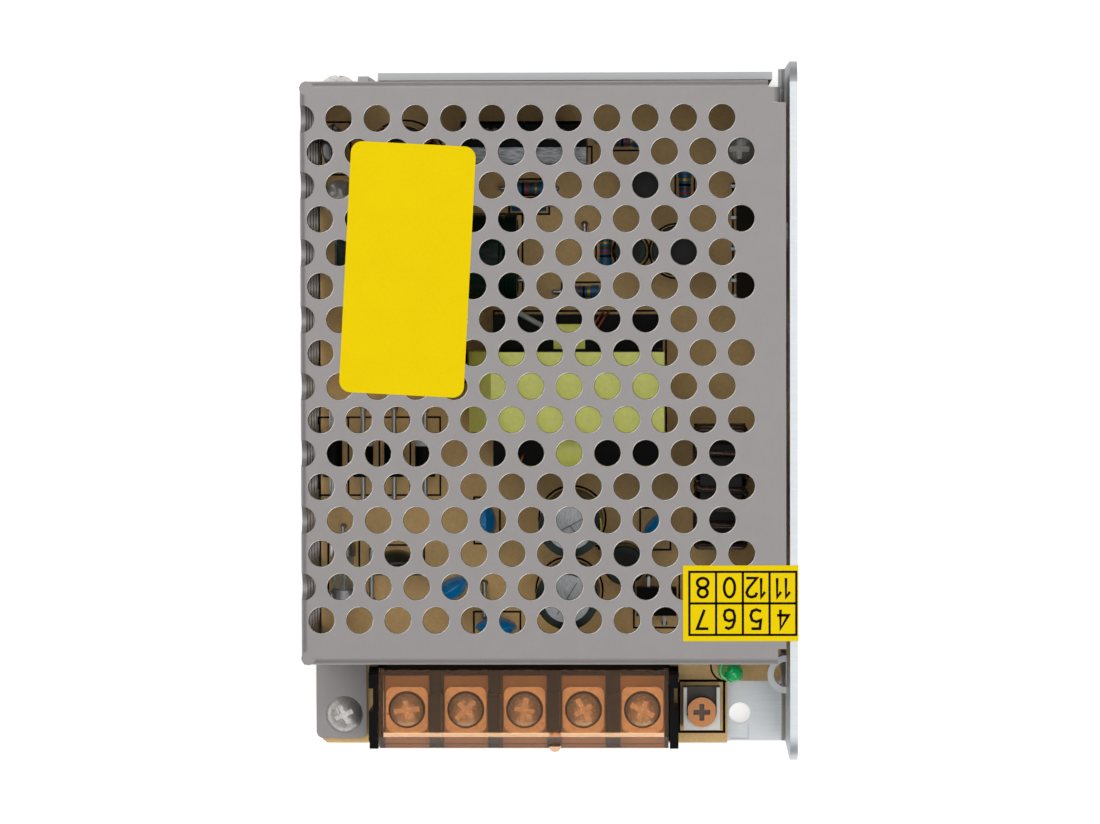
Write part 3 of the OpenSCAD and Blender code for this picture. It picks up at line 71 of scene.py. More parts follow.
def make_camera():
    data = bpy.data.cameras.new("camera")
    data.sensor_width = SENSOR
    data.lens = LENS
    data.clip_end = 20
    cam = bpy.data.objects.new("camera", data)
    cam.location = CAMERA_AT
    cam.rotation_euler = Euler([math.radians(a) for a in CAMERA_TURN])
    bpy.context.scene.collection.objects.link(cam)
    bpy.context.scene.camera = cam


def make_floor():
    mesh = bpy.data.meshes.new("floor")
    s = FLOOR_HALF
    mesh.from_pydata([(-s, -s, 0), (s, -s, 0), (s, s, 0), (-s, s, 0)], [], [(0, 1, 2, 3)])
    floor = bpy.data.objects.new("floor", mesh)
    bpy.context.scene.collection.objects.link(floor)
    mat = bpy.data.materials.new("floor")
    mat.use_nodes = True
    tree = mat.node_tree
    bsdf = tree.nodes["Principled BSDF"]
    bsdf.inputs["Base Color"].default_value = (0.86, 0.86, 0.86, 1)
    bsdf.inputs["Roughness"].default_value = 0.9
    bsdf.inputs["Specular IOR Level"].default_value = 0.1
    bsdf.inputs["Emission Color"].default_value = (1, 1, 1, 1)
    # it glows for the camera and in reflections only, and keeps the object's shadow
    path = tree.nodes.new("ShaderNodeLightPath")
    seen = add_math(tree, "MAXIMUM", path.outputs["Is Camera Ray"], path.outputs["Is Glossy Ray"])
    seen = add_math(tree, "MAXIMUM", seen, path.outputs["Is Transmission Ray"])
    glow = add_math(tree, "MULTIPLY", seen, FLOOR_GLOW)
    tree.links.new(glow, bsdf.inputs["Emission Strength"])
    mesh.materials.append(mat)


def area_light(name, location, size, power):
    """A square lamp aimed at the origin."""
    data = bpy.data.lights.new(name, "AREA")
    data.shape = "SQUARE"
    data.size = size
    data.energy = power
    light = bpy.data.objects.new(name, data)
    light.location = location
    aim = Vector((0, 0, 0)) - Vector(location)
    light.rotation_euler = aim.to_track_quat("-Z", "Y").to_euler()
    bpy.context.scene.collection.objects.link(light)


def make_light():
    world = bpy.data.worlds.new("world")
    bpy.context.scene.world = world
    world.use_nodes = True
    back = world.node_tree.nodes["Background"]
    back.inputs["Color"].default_value = (1, 1, 1, 1)
    back.inputs["Strength"].default_value = WORLD_STRENGTH
    for facts in LIGHTS:
        area_light(*facts)
    bpy.context.scene.view_settings.view_transform = "Standard"


# ---------------------------------------------------------------- materials

def srgb(r, g, b):
    """Linear colour from 0-255 display values."""
    def lin(v):
        v /= 255
        return v / 12.92 if v <= 0.04045 else ((v + 0.055) / 1.055) ** 2.4
    return (lin(r), lin(g), lin(b))


def add_math(tree, operation, a, b):
    node = tree.nodes.new("ShaderNodeMath")
    node.operation = operation
    for socket, value in zip(node.inputs, (a, b)):
        if isinstance(value, (int, float)):
            socket.default_value = value
        else:
            tree.links.new(value, socket)
    return node.outputs[0]


def add_noise(tree, vector, size, stretch=(1, 1, 1), detail=4):
    """Noise whose grain is size millimetres."""
    mapping = tree.nodes.new("ShaderNodeMapping")
    mapping.inputs["Scale"].default_value = [s / (size * MM) for s in stretch]
    tree.links.new(vector, mapping.inputs["Vector"])
    noise = tree.nodes.new("ShaderNodeTexNoise")
    noise.inputs["Scale"].default_value = 1
    noise.inputs["Detail"].default_value = detail
    tree.links.new(mapping.outputs["Vector"], noise.inputs["Vector"])
    return noise.outputs["Fac"]


def add_ramp(tree, fac, stops):
    ramp = tree.nodes.new("ShaderNodeValToRGB")
    elements = ramp.color_ramp.elements
    while len(elements) < len(stops):
        elements.new(0.5)
    for element, (position, color) in zip(elements, stops):
        element.position = position
        element.color = [min(c, 1) for c in color] + [1]
    tree.links.new(fac, ramp.inputs["Fac"])
    return ramp.outputs["Color"]


def add_mix(tree, fac, a, b):
    """Colour mix: a where fac is 0, b where it is 1. Each is a socket or a colour."""
    mix = tree.nodes.new("ShaderNodeMix")
    mix.data_type = "RGBA"
    tree.links.new(fac, mix.inputs["Factor"])
    for socket, value in ((mix.inputs[6], a), (mix.inputs[7], b)):
        if isinstance(value, tuple):
            socket.default_value = (*value, 1)
        else:
            tree.links.new(value, socket)
    return mix.outputs[2]


def add_blend(tree, fac, a, b):
    """Number mix: a where fac is 0, b where it is 1."""
    step = add_math(tree, "SUBTRACT", b, a)
    return add_math(tree, "ADD", a, add_math(tree, "MULTIPLY", step, fac))


def inside_any(tree, place, boxes):
    """1 inside any of the boxes, which are {axis: (low, high)} in mm."""
    axes = tree.nodes.new("ShaderNodeSeparateXYZ")
    tree.links.new(place, axes.inputs[0])
    total = 0.0
    for box in boxes:
        inside = 1.0
        for axis, (low, high) in box.items():
            value = axes.outputs[axis]
            for test, bound in (("GREATER_THAN", low), ("LESS_THAN", high)):
                inside = add_math(tree, "MULTIPLY", inside, add_math(tree, test, value, bound * MM))
        total = add_math(tree, "MAXIMUM", total, inside)
    return total


# how far below the cover's top its vents' walls reach
EDGE_DEPTH = 0.85 * MM


def cut_edge_sheen_mask(tree, place):
    """1 on the cut edges of the cover's top sheet: the walls of its vents, which get a lighter
    colour that is bare metal and painted highlight.
    """
    facing = tree.nodes.new("ShaderNodeSeparateXYZ")
    tree.links.new(tree.nodes.new("ShaderNodeNewGeometry").outputs["True Normal"], facing.inputs[0])
    where = tree.nodes.new("ShaderNodeSeparateXYZ")
    tree.links.new(place, where.inputs[0])
    across = add_math(tree, "LESS_THAN", add_math(tree, "ABSOLUTE", facing.outputs["Z"], 0), 0.15)
    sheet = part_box("mesh_cover")[1].z - EDGE_DEPTH
    above = add_math(tree, "GREATER_THAN", where.outputs["Z"], sheet)
    return add_math(tree, "MULTIPLY", across, above)


# colour, roughness and metallic share
BARE_LEAD = (srgb(176, 177, 179), 0.34, 1.0)
# the vent walls' lighter colour is bare cut metal and also a painted highlight
CUT_EDGE_AND_SHEEN = (srgb(186, 183, 180), 0.4, 0.3)


def material(name, color, rough, metal=0.0, mottle=0.05, size=0.4, stretch=(1, 1, 1), bump=0.02,
             rough_range=0.06, coat=0.0, transmission=0.0, spec=0.5, ior=1.5, broad=0.04,
             body=None, outside=BARE_LEAD, cut_edges=False):
    """A surface with a fine grain and broad, faint patches.

    size is the grain in mm, and stretch draws it out. mottle and broad are shares of the colour.
    body is a list of {axis: (low, high)} in mm, and all outside them has the look of outside.
    The cut-edge flag gives the walls of the cover's vents a lighter colour: bare cut metal, and a
    painted highlight for the light they catch.
    """
    mat = bpy.data.materials.new(name)
    mat.use_nodes = True
    tree = mat.node_tree
    bsdf = tree.nodes["Principled BSDF"]
    bsdf.inputs["Coat Weight"].default_value = coat
    bsdf.inputs["Coat Roughness"].default_value = 0.08
    bsdf.inputs["Transmission Weight"].default_value = transmission
    bsdf.inputs["Specular IOR Level"].default_value = spec
    bsdf.inputs["IOR"].default_value = ior
    place = tree.nodes.new("ShaderNodeTexCoord").outputs["Object"]
    fine = add_noise(tree, place, size, stretch)
    wide = add_noise(tree, place, 18 * size, (1, 1, 1), 2)
    tint = add_ramp(tree, fine, [(0.3, [c * (1 - mottle) for c in color]),
                                 (0.7, [c * (1 + mottle) for c in color])])
    shade = add_ramp(tree, wide, [(0.35, (1 - broad,) * 3), (0.65, (1, 1, 1))])
    product = tree.nodes.new("ShaderNodeMix")
    product.data_type = "RGBA"
    product.blend_type = "MULTIPLY"
    product.inputs["Factor"].default_value = 1
    tree.links.new(tint, product.inputs[6])
    tree.links.new(shade, product.inputs[7])
    surface = product.outputs[2]
    spread = tree.nodes.new("ShaderNodeMapRange")
    spread.inputs["To Min"].default_value = max(rough - rough_range, 0.02)
    spread.inputs["To Max"].default_value = rough + rough_range
    tree.links.new(fine, spread.inputs["Value"])
    roughness = spread.outputs["Result"]
    bare = None
    if body:
        bare = add_math(tree, "SUBTRACT", 1, inside_any(tree, place, body))
    elif cut_edges:
        bare = cut_edge_sheen_mask(tree, place)
    if bare is not None:
        bare_color, bare_rough, bare_metal = CUT_EDGE_AND_SHEEN if cut_edges else outside
        surface = add_mix(tree, bare, surface, bare_color)
        roughness = add_blend(tree, bare, roughness, bare_rough)
        tree.links.new(add_blend(tree, bare, metal, bare_metal), bsdf.inputs["Metallic"])
    else:
        bsdf.inputs["Metallic"].default_value = metal
    tree.links.new(surface, bsdf.inputs["Base Color"])
    tree.links.new(roughness, bsdf.inputs["Roughness"])
    bumps = tree.nodes.new("ShaderNodeBump")
    bumps.inputs["Strength"].default_value = bump
    bumps.inputs["Distance"].default_value = 0.1 * MM
    tree.links.new(fine, bumps.inputs["Height"])
    tree.links.new(bumps.outputs["Normal"], bsdf.inputs["Normal"])
    return mat


def set_material(node, mat):
    obj = nodes[node]
    if not obj.material_slots:
        obj.data.materials.append(mat)
    for slot in obj.material_slots:
        slot.material = mat


BLACK = srgb(10, 10, 11)
GREEN_SLEEVE = srgb(10, 36, 28)
YELLOW_RESIN = srgb(216, 182, 62)
DISC_BLUE = srgb(0, 136, 210)
CLEAR_GLASS = srgb(225, 232, 230)
TEAL = srgb(30, 96, 134)
ROTOR_ORANGE = srgb(216, 128, 24)
ALUMINIUM = (srgb(198, 202, 205), 0.42, 0.8, 0.05, 0.25, (0.04, 1, 0.3), 0.06)
RESIN = {"rough": 0.34, "mottle": 0.1, "size": 0.3, "spec": 0.06}
SLEEVE = {"rough": 0.25, "spec": 0.18}


def look(*values, **named):
    """What material() takes after the name."""
    return values, named


LOOKS = {
    "bare_aluminium": look(*ALUMINIUM),
    "cover_steel": look(srgb(142, 138, 137), 0.42, 0.4, 0.025, 0.16, (1, 0.12, 0.12), 0.04, 0.05,
                        broad=0.03, cut_edges=True),
    "black_film": look(srgb(30, 30, 32), 0.4, spec=0.3),
    "plated_steel": look(srgb(202, 199, 194), 0.36, 0.6, 0.2, 0.4, bump=0.25),
    "board_laminate": look(srgb(232, 192, 130), 0.45, 0, 0.07, 0.5, spec=0.25, broad=0.1),
    "black_resin": look(BLACK, **RESIN),
    "nickel_brass": look(srgb(206, 200, 186), 0.3, 1, 0.14, 0.6, bump=0.3),
    "amber_resin": look(srgb(238, 194, 154), 0.05, 0, 0.03, 2, rough_range=0.02,
                        transmission=0.96, ior=1.2, bump=0),
    "white_resin": look(srgb(222, 222, 216), 0.35),
    "orange_resin": look(ROTOR_ORANGE, 0.25, coat=0.3),
    "green_lens": look(srgb(20, 222, 118), 0.06, 0, bump=0, transmission=0.1, coat=0.6,
                       rough_range=0.02),
    "ferrite": look(srgb(46, 46, 50), 0.7, 0, 0.2, 0.2, bump=0.2, spec=0.3),
    "winding_tape": look(srgb(244, 248, 118), 0.3, 0, 0.05, 0.8, coat=0.2, spec=0.4),
    "dark_sleeve": look(GREEN_SLEEVE, **SLEEVE),
    "can_aluminium": look(srgb(166, 169, 172), 0.42, 0.9, 0.24, 0.16, (1, 0.2, 1), 0.1),
    "pad_silicone": look(srgb(190, 192, 196), 0.7),
    "enamelled_copper": look(srgb(150, 78, 40), 0.3, 0.8),
    "yellow_resin": look(YELLOW_RESIN, 0.4, spec=0.3),
    "blue_coating": look(DISC_BLUE, 0.22, 0, coat=0.4),
    "fuse_glass": look(CLEAR_GLASS, 0.05, 0, bump=0, transmission=0.9),
    "teal_coating": look(TEAL, 0.4),
    "tinned_wire": look(BARE_LEAD[0], BARE_LEAD[1], 1, 0.1, 0.3),
    "yellow_paper": look(srgb(240, 209, 0), 0.6, 0, 0.02, 0.3, broad=0.02, spec=0.05),
    "vent_edge": look(srgb(196, 194, 190), 0.2, 1, 0.03, 0.2),
    "contact_metal": look(srgb(150, 134, 108), 0.4, 1, 0.08, 0.3),
    "dark_enamel": look(srgb(58, 40, 30), 0.28, 0.4, coat=0.2),
    "sink_aluminium": look(srgb(128, 130, 133), 0.4, 0.95, 0.6, 0.3, (0.25, 1, 1), 0.2, 0.15),
    "score_shadow": look(srgb(96, 97, 98), 0.5, 0.5, 0.1, 0.2),
    "ink": look(srgb(16, 13, 11), 0.6, 0, 0.1, 0.2, spec=0.04),
    "yellow_mark": look(srgb(230, 208, 40), 0.4, 0, 0.05, 0.3),
    "stripe_grey": look(srgb(188, 190, 186), 0.4, 0, 0.05, 0.3),
    "band_brown": look(srgb(96, 50, 24), 0.35),
    "band_red": look(srgb(176, 40, 30), 0.35),
    "band_gold": look(srgb(190, 150, 60), 0.3, 0.6),
    "seal_rubber": look(srgb(26, 26, 27), 0.7, spec=0.2),
    "sleeve_grey": look(srgb(150, 152, 150), 0.5),
}
M = {name: material(name, *values, **named) for name, (values, named) in LOOKS.items()}

# mm: ends of body boxes that lie clear of the object
FRONT_CLEAR, TOP_CLEAR = -60, 30
# mm: from the rear face to where the chassis's painted shade ends, and down a screw head to where
# its painted shade begins
REAR_SHADE_STRIP, HEAD_SHADE = 3.3, 1.3

for part in frame["record"]["subparts"]:
    set_material(part["node"], M[part["material_slot"]])
set_material("terminal_contacts", M["contact_metal"])
set_material("heat_sink", M["sink_aluminium"])
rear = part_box("chassis")[1].y / MM - REAR_SHADE_STRIP
# the top of the rear wall is painted a darker grey: painted shade, for the duller light it reflects
set_material("chassis", material(
    "bare_aluminium_chassis", *ALUMINIUM, body=[{"Y": (FRONT_CLEAR, rear)}],
    outside=(srgb(164, 165, 166), 0.46, 0.7)))
for pole in range(1, POLES + 1):
    head = "terminal_screw_%d" % pole
    shade_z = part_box(head)[1].z / MM - HEAD_SHADE
    # everything on the head lower than shade_z, the cross and the rim round the dome, has a painted
    # shade
    set_material(head, material(
        "plated_steel_" + head, srgb(250, 246, 236), 0.26, 0.3, 0.2, 0.5, bump=0.5,
        body=[{"Z": (shade_z, TOP_CLEAR)}], outside=(srgb(120, 110, 100), 0.4, 1.0)))


# ---------------------------------------------------------------- places in the frame, in mm

def box_mm(node):
    low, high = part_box(node)
    return low / MM, high / MM


def welded(node):
    """A CAD node's mesh with its doubled points joined, in metres."""
    bm = bmesh.new()
    bm.from_mesh(nodes[node].data)
    bmesh.ops.remove_doubles(bm, verts=bm.verts, dist=1e-6)
    return bm


def connected(items, neighbours):
    """The groups of items that hang together."""
    groups, seen = [], set()
    for first in items:
        if first in seen:
            continue
        seen.add(first)
        group, queue = [], [first]
        while queue:
            item = queue.pop()
            group.append(item)
            for other in neighbours(item):
                if other not in seen:
                    seen.add(other)
                    queue.append(other)
        groups.append(group)
    return groups


# mm: the smallest diagonal of a solid
SPECK = 2


def solids(node):
    """(low, high) of each separate solid of a CAD node, from left to right, without specks."""
    bm = welded(node)
    found = []
    for group in connected(bm.verts, lambda vert: [e.other_vert(vert) for e in vert.link_edges]):
        points = [vert.co / MM for vert in group]
        low = Vector(min(p[k] for p in points) for k in range(3))
        high = Vector(max(p[k] for p in points) for k in range(3))
        if (high - low).length > SPECK:
            found.append((low, high))
    bm.free()
    return sorted(found, key=lambda b: (round(b[0].x, 1), b[0].y))


def middle(box):
    return (box[0] + box[1]) / 2


BOARD = box_mm("circuit_board")[1].z
RESISTOR_L = 5.6
RESISTOR_R = 0.95
DIODE_L = 6.5
DIODE_R = 1.65
DIODE_FRAME = 12.7
FUSE_GLASS = 5.6
FUSE_D = 3.6
LED_FLANGE_Z = 3.0


def along_x(box):
    return box[1].x - box[0].x > box[1].y - box[0].y


def axis_z(diameter):
    """Height of an axial part's axis, as the part lies on the board."""
    return BOARD + diameter * 0.58 + 0.1


def coated(node, slot, color, body, **finish):
    """Gives a CAD node its coating inside the body boxes, and bare tinned metal outside them."""
    set_material(node, material(slot + "_" + node, color, body=body, **finish))


RESISTORS = solids("resistors")
DIODES = solids("bridge_diodes")
SMALL_CAPS = solids("small_capacitors")
OUT_CAPS = solids("output_capacitor_sleeves")
TAB_Z = box_mm("heat_sink")[1].z
BODY_Z = (BOARD + 4.05, TAB_Z)
ABOVE_BOARD = {"Z": (BOARD + 0.05, TAB_Z)}


def resistor_bodies():
    boxes = []
    half_box = 1.2
    for box in RESISTORS:
        axis, centre = ("X", middle(box).x) if along_x(box) else ("Y", middle(box).y)
        other = "Y" if axis == "X" else "X"
        across = middle(box)["XYZ".index(other)]
        boxes.append({axis: (centre - RESISTOR_L / 2, centre + RESISTOR_L / 2),
                      other: (across - half_box, across + half_box)})
    return boxes


coated("resistors", "teal_coating", TEAL, resistor_bodies(), rough=0.35)
diode_y = middle(DIODES[0]).y
coated("bridge_diodes", "black_resin", BLACK,
       [{"Y": (diode_y - DIODE_L / 2, diode_y + DIODE_L / 2)}], **RESIN)

# the bulk capacitor lies on its side, with its leads at the +X end
BULK_LEADS = 2.6
bulk_low, bulk_high = box_mm("bulk_capacitor")
BULK_R = (bulk_high.y - bulk_low.y) / 2
BULK_END = bulk_high.x - BULK_LEADS
BULK_Z = BOARD + BULK_R + 0.2
coated("bulk_capacitor", "dark_sleeve", GREEN_SLEEVE,
       [{"X": (bulk_low.x + 0.2, BULK_END)}], **SLEEVE)
coated("small_capacitors", "dark_sleeve", srgb(8, 10, 11), [
    {"X": (low.x - 0.1, high.x + 0.1), "Y": (low.y - 0.1, high.y + 0.1),
     "Z": (BOARD + 0.3, high.z + 0.1)} for low, high in SMALL_CAPS], **SLEEVE)

DIPPED = {"Z": (BOARD + 1.2, TAB_Z)}
coated("disc_capacitors", "blue_coating", DISC_BLUE, [DIPPED], rough=0.22, coat=0.4)
for name in ("thermistor", "varistor"):
    coated(name, "black_resin", srgb(30, 32, 32), [DIPPED], rough=0.3, coat=0.2)
coated("film_capacitor", "yellow_resin", YELLOW_RESIN, [ABOVE_BOARD], rough=0.4)
coated("transformer_bobbin", "black_resin", BLACK, [ABOVE_BOARD], **RESIN)

# only the faces at the very top have the resin's own colour: the rest of the trimmer is painted
# dark, a painted shade
coated("trimmer_body", "white_resin", srgb(228, 228, 222),
       [{"Z": (box_mm("trimmer_body")[1].z - 0.4, TAB_Z)}],
       rough=0.35, outside=(srgb(70, 64, 56), 0.5, 0.0))
# below its top faces the rotor is painted dark brown too: painted shade
coated("trimmer_rotor", "orange_resin", ROTOR_ORANGE,
       [{"Z": (box_mm("trimmer_rotor")[1].z - 0.3, TAB_Z)}],
       rough=0.25, coat=0.3, outside=(srgb(84, 48, 16), 0.5, 0.0))
# the output rectifier is dark brown, not black: painted shade, matching the shaded board round it
for name, color in (("switching_transistors", BLACK), ("output_rectifier", srgb(26, 22, 19))):
    coated(name, "black_resin", color, [{"Z": BODY_Z}], **RESIN)

CHIP_LEG, OPTO_LEG = 0.85, 1.7
CHIP_Z = (BOARD + 0.55, TAB_Z)
chip, opto = box_mm("control_chip"), box_mm("optocoupler")
# the control chip is dark brown, not black: painted shade, matching the shaded board round it
coated("control_chip", "black_resin", srgb(36, 29, 22),
       [{"X": (chip[0].x + CHIP_LEG, chip[1].x - CHIP_LEG), "Z": CHIP_Z}], **RESIN)
coated("optocoupler", "black_resin", BLACK,
       [{"Y": (opto[0].y + OPTO_LEG, opto[1].y - OPTO_LEG), "Z": CHIP_Z}], **RESIN)
fuse = box_mm("fuse")
fuse_mid = middle(fuse)
coated("fuse", "fuse_glass", CLEAR_GLASS,
       [{"Y": (fuse_mid.y - FUSE_GLASS / 2, fuse_mid.y + FUSE_GLASS / 2)}],
       rough=0.05, bump=0, transmission=0.9)


# ---------------------------------------------------------------- shapes

def circle(radius, steps=24, start=0.0, arc=TAU):
    closed = abs(arc - TAU) < 1e-6
    count = steps if closed else steps + 1
    return [(radius * math.cos(start + arc * k / steps), radius * math.sin(start + arc * k / steps))
            for k in range(count)]


class Shape:
    """Closed solids, in millimetres, gathered into one piece."""

    def __init__(self):
        self.bm = bmesh.new()

    def loft(self, rings, wrap=False, place=None):
        """Skins rings of equal length. The ends are capped, or joined to each other by wrap."""
        place = place or Matrix.Identity(4)
        rows = [[self.bm.verts.new(place @ Vector(p)) for p in ring] for ring in rings]
        count = len(rows[0])
        pairs = list(zip(rows, rows[1:])) + ([(rows[-1], rows[0])] if wrap else [])
        for low, high in pairs:
            for k in range(count):
                self.bm.faces.new((low[k], low[(k + 1) % count], high[(k + 1) % count], high[k]))
        if not wrap:
            self.bm.faces.new(rows[0][::-1])
            self.bm.faces.new(rows[-1])

    def prism(self, outline, z0, z1, place=None):
        self.loft([[(x, y, z) for x, y in outline] for z in (z0, z1)], place=place)

    def bar(self, low, high, place=None):
        self.prism([(low[0], low[1]), (high[0], low[1]), (high[0], high[1]), (low[0], high[1])],
                   low[2], high[2], place)

    def lathe(self, profile, place=None, steps=32, wrap=False):
        """Turns (radius, height) points round the Z axis of place. wrap closes them into a ring."""
        self.loft([[(x, y, z) for x, y in circle(r, steps)] for r, z in profile], wrap, place)

    def ribbon(self, points, width, z0, z1, closed=False, place=None):
        """A flat line of the given width along points, with mitred corners."""
        points = [Vector(p) for p in points]
        last = len(points) - 1
        rings = []
        for k, p in enumerate(points):
            before = points[k - 1] if k or closed else None
            after = points[(k + 1) % (last + 1)] if k < last or closed else None
            steps = [(b - a).normalized() for a, b in ((before, p), (p, after))
                     if a is not None and b is not None]
            normals = [Vector((-s.y, s.x)) for s in steps]
            across = (normals[0] + normals[-1]).normalized()
            across *= width / 2 / max(across.dot(normals[0]), 0.5)
            left, right = p + across, p - across
            rings.append([(*left, z0), (*right, z0), (*right, z1), (*left, z1)])
        self.loft(rings, closed, place)

    def tube(self, path, radius, sides=10):
        """A round wire along path."""
        path = [Vector(p) for p in path]
        rings, normal = [], None
        for k, p in enumerate(path):
            tangent = (path[min(k + 1, len(path) - 1)] - path[max(k - 1, 0)]).normalized()
            if normal is None:
                normal = tangent.orthogonal()
            else:
                normal = normal - tangent * normal.dot(tangent)
            normal.normalize()
            side = tangent.cross(normal)
            rings.append([p + normal * x + side * y for x, y in circle(radius, sides)])
        self.loft(rings)


def piece(name, shape, mat, body=ROOT, replaces=(), sharp=40):
    """Makes a Shape into a piece that rides on body. Edges over sharp degrees stay crisp."""
    bm = shape.bm
    bmesh.ops.recalc_face_normals(bm, faces=bm.faces)
    bmesh.ops.scale(bm, vec=(MM, MM, MM), verts=bm.verts)
    mesh = bpy.data.meshes.new(name)
    bm.to_mesh(mesh)
    bm.free()
    mesh.shade_smooth()
    mesh.set_sharp_from_angle(angle=math.radians(sharp))
    mesh.materials.append(M[mat])
    obj = bpy.data.objects.new(name, mesh)
    bpy.context.scene.collection.objects.link(obj)
    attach(obj, body)
    if replaces:
        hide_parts(*replaces)
    return obj


def at(x=0.0, y=0.0, z=0.0):
    return Matrix.Translation((x, y, z))


def turned(degrees, axis="Z"):
    return Matrix.Rotation(math.radians(degrees), 4, axis)


def smooth_path(points, steps=6):
    """Catmull-Rom curve through the points."""
    points = [Vector(p) for p in points]
    padded = [points[0] * 2 - points[1]] + points + [points[-1] * 2 - points[-2]]
    path = []
    for a, b, c, d in zip(padded, padded[1:], padded[2:], padded[3:]):
        for k in range(steps):
            t = k / steps
            path.append(0.5 * (2 * b + (c - a) * t + (2 * a - 5 * b + 4 * c - d) * t * t
                               + (3 * b - a - 3 * c + d) * t ** 3))
    return path + [points[-1]]


# ---------------------------------------------------------------- printing on the board

INK_T = 0.02
LINE = 0.3
PRINT_GAP = 0.45
# how far the printed frame stands off each part
FRAMES = (("transformer_bobbin", 0.5), ("film_capacitor", 0.5), ("output_choke_core", 0.7),
          ("control_chip", -0.35), ("optocoupler", 0.45), ("heat_sink", 0.6))


def rect(low, high, margin=0.0):
    """A box's outline from above, grown by margin."""
    return [(low.x - margin, low.y - margin), (high.x + margin, low.y - margin),
            (high.x + margin, high.y + margin), (low.x - margin, high.y + margin)]


def board_print():
    shape = Shape()

    def line(points, width=LINE, closed=True):
        shape.ribbon(points, width, BOARD, BOARD + INK_T, closed)

    def ring(x, y, r, width=LINE):
        line([(x + a, y + b) for a, b in circle(r, 32)], width)

    for node, margin in FRAMES:
        line(rect(*box_mm(node), margin))
    line(rect(*box_mm("trimmer_body"), 0.72), 0.4)
    low, high = DIODES[0][0], DIODES[-1][1]
    y0, y1 = diode_y - DIODE_FRAME / 2, diode_y + DIODE_FRAME / 2
    line([(low.x - 0.7, y0), (high.x + 0.7, y0), (high.x + 0.7, y1), (low.x - 0.7, y1)])
    for left, right in zip(DIODES, DIODES[1:]):
        x = (left[1].x + right[0].x) / 2
        line([(x, y0), (x, y1)], closed=False)
    for box in RESISTORS + [fuse]:
        low, high = box[0].copy(), box[1].copy()
        length = 10 if box is fuse else RESISTOR_L
        k = 0 if along_x(box) else 1
        centre = middle(box)[k]
        low[k], high[k] = centre - length / 2, centre + length / 2
        line(rect(low, high, PRINT_GAP))
        for end in (low, high):
            reach = 1.1 if end is high else -1.1
            start = [middle(box).x, middle(box).y]
            start[k] = end[k] + math.copysign(PRINT_GAP, reach)
            stop = list(start)
            stop[k] += reach
            line([start, stop], closed=False)
    for low, high in SMALL_CAPS + OUT_CAPS:
        x, y = (low.x + high.x) / 2, (low.y + high.y) / 2
        r = (high.x - low.x) / 2 + PRINT_GAP
        ring(x, y, r)
        line([(x - r - 1.2, y + r * 0.7), (x - r, y + r * 0.7)], closed=False)
        line([(x - r - 0.6, y + r * 0.7 - 0.6), (x - r - 0.6, y + r * 0.7 + 0.6)], closed=False)
    low, high = box_mm("line_choke_winding")
    c = middle((low, high))
    ring(c.x, c.y, (high.x - low.x) / 2 + 0.4)
    for low, high in solids("disc_capacitors") + [box_mm("thermistor"), box_mm("varistor")]:
        line(rect(low, high, 0.4))
    end = bulk_high.x - 2
    line([(bulk_low.x, bulk_low.y), (end, bulk_low.y),
          (end, bulk_high.y), (bulk_low.x, bulk_high.y)])
    led = middle(box_mm("power_led"))
    arc = circle(2.5, 18, math.radians(150), math.radians(120))
    line([(led.x - 0.6 + a, led.y + 0.35 + b) for a, b in arc], closed=False)
    piece("board_print", shape, "ink")


# ---------------------------------------------------------------- number label

# digits as strokes, in shares of their height
GLYPH_W = 0.58
GLYPHS = {
    "1": [[(0.16, 0.72), (0.36, 1), (0.36, 0)]],
    "2": [[(0.02, 0.76), (0.1, 0.94), (0.3, 1), (0.48, 0.94), (0.56, 0.76), (0.48, 0.56),
           (0.02, 0), (0.58, 0)]],
    "4": [[(0.42, 0), (0.42, 1), (0, 0.3), (0.6, 0.3)]],
    "5": [[(0.54, 1), (0.1, 1), (0.05, 0.55), (0.28, 0.64), (0.5, 0.56), (0.58, 0.32), (0.5, 0.08),
           (0.28, 0), (0.03, 0.1)]],
    "6": [[(0.52, 0.92), (0.34, 1), (0.14, 0.9), (0.03, 0.6), (0.02, 0.32), (0.1, 0.07),
           (0.3, 0), (0.5, 0.07), (0.57, 0.3), (0.5, 0.53), (0.3, 0.6), (0.1, 0.52)]],
    "7": [[(0, 1), (0.58, 1), (0.2, 0)]],
}
OVALS = {"0": [(0.29, 0.5, 0.28, 0.5)], "8": [(0.29, 0.25, 0.29, 0.25), (0.29, 0.76, 0.25, 0.24)]}
ADVANCE = {"1": 0.46}
WIDE_ADVANCE = 0.66
NUMBER_ROWS = (("7", "6", "5", "4"), ("8", "0", "12", "11"))


def draw_digit(shape, digit, height, width, z, place):
    for stroke in GLYPHS.get(digit, []):
        shape.ribbon([(x * height, y * height) for x, y in stroke],
                     width, z, z + INK_T, place=place)
    for cx, cy, rx, ry in OVALS.get(digit, []):
        shape.ribbon([((cx + rx * x) * height, (cy + ry * y) * height) for x, y in circle(1, 20)],
                     width, z, z + INK_T, closed=True, place=place)


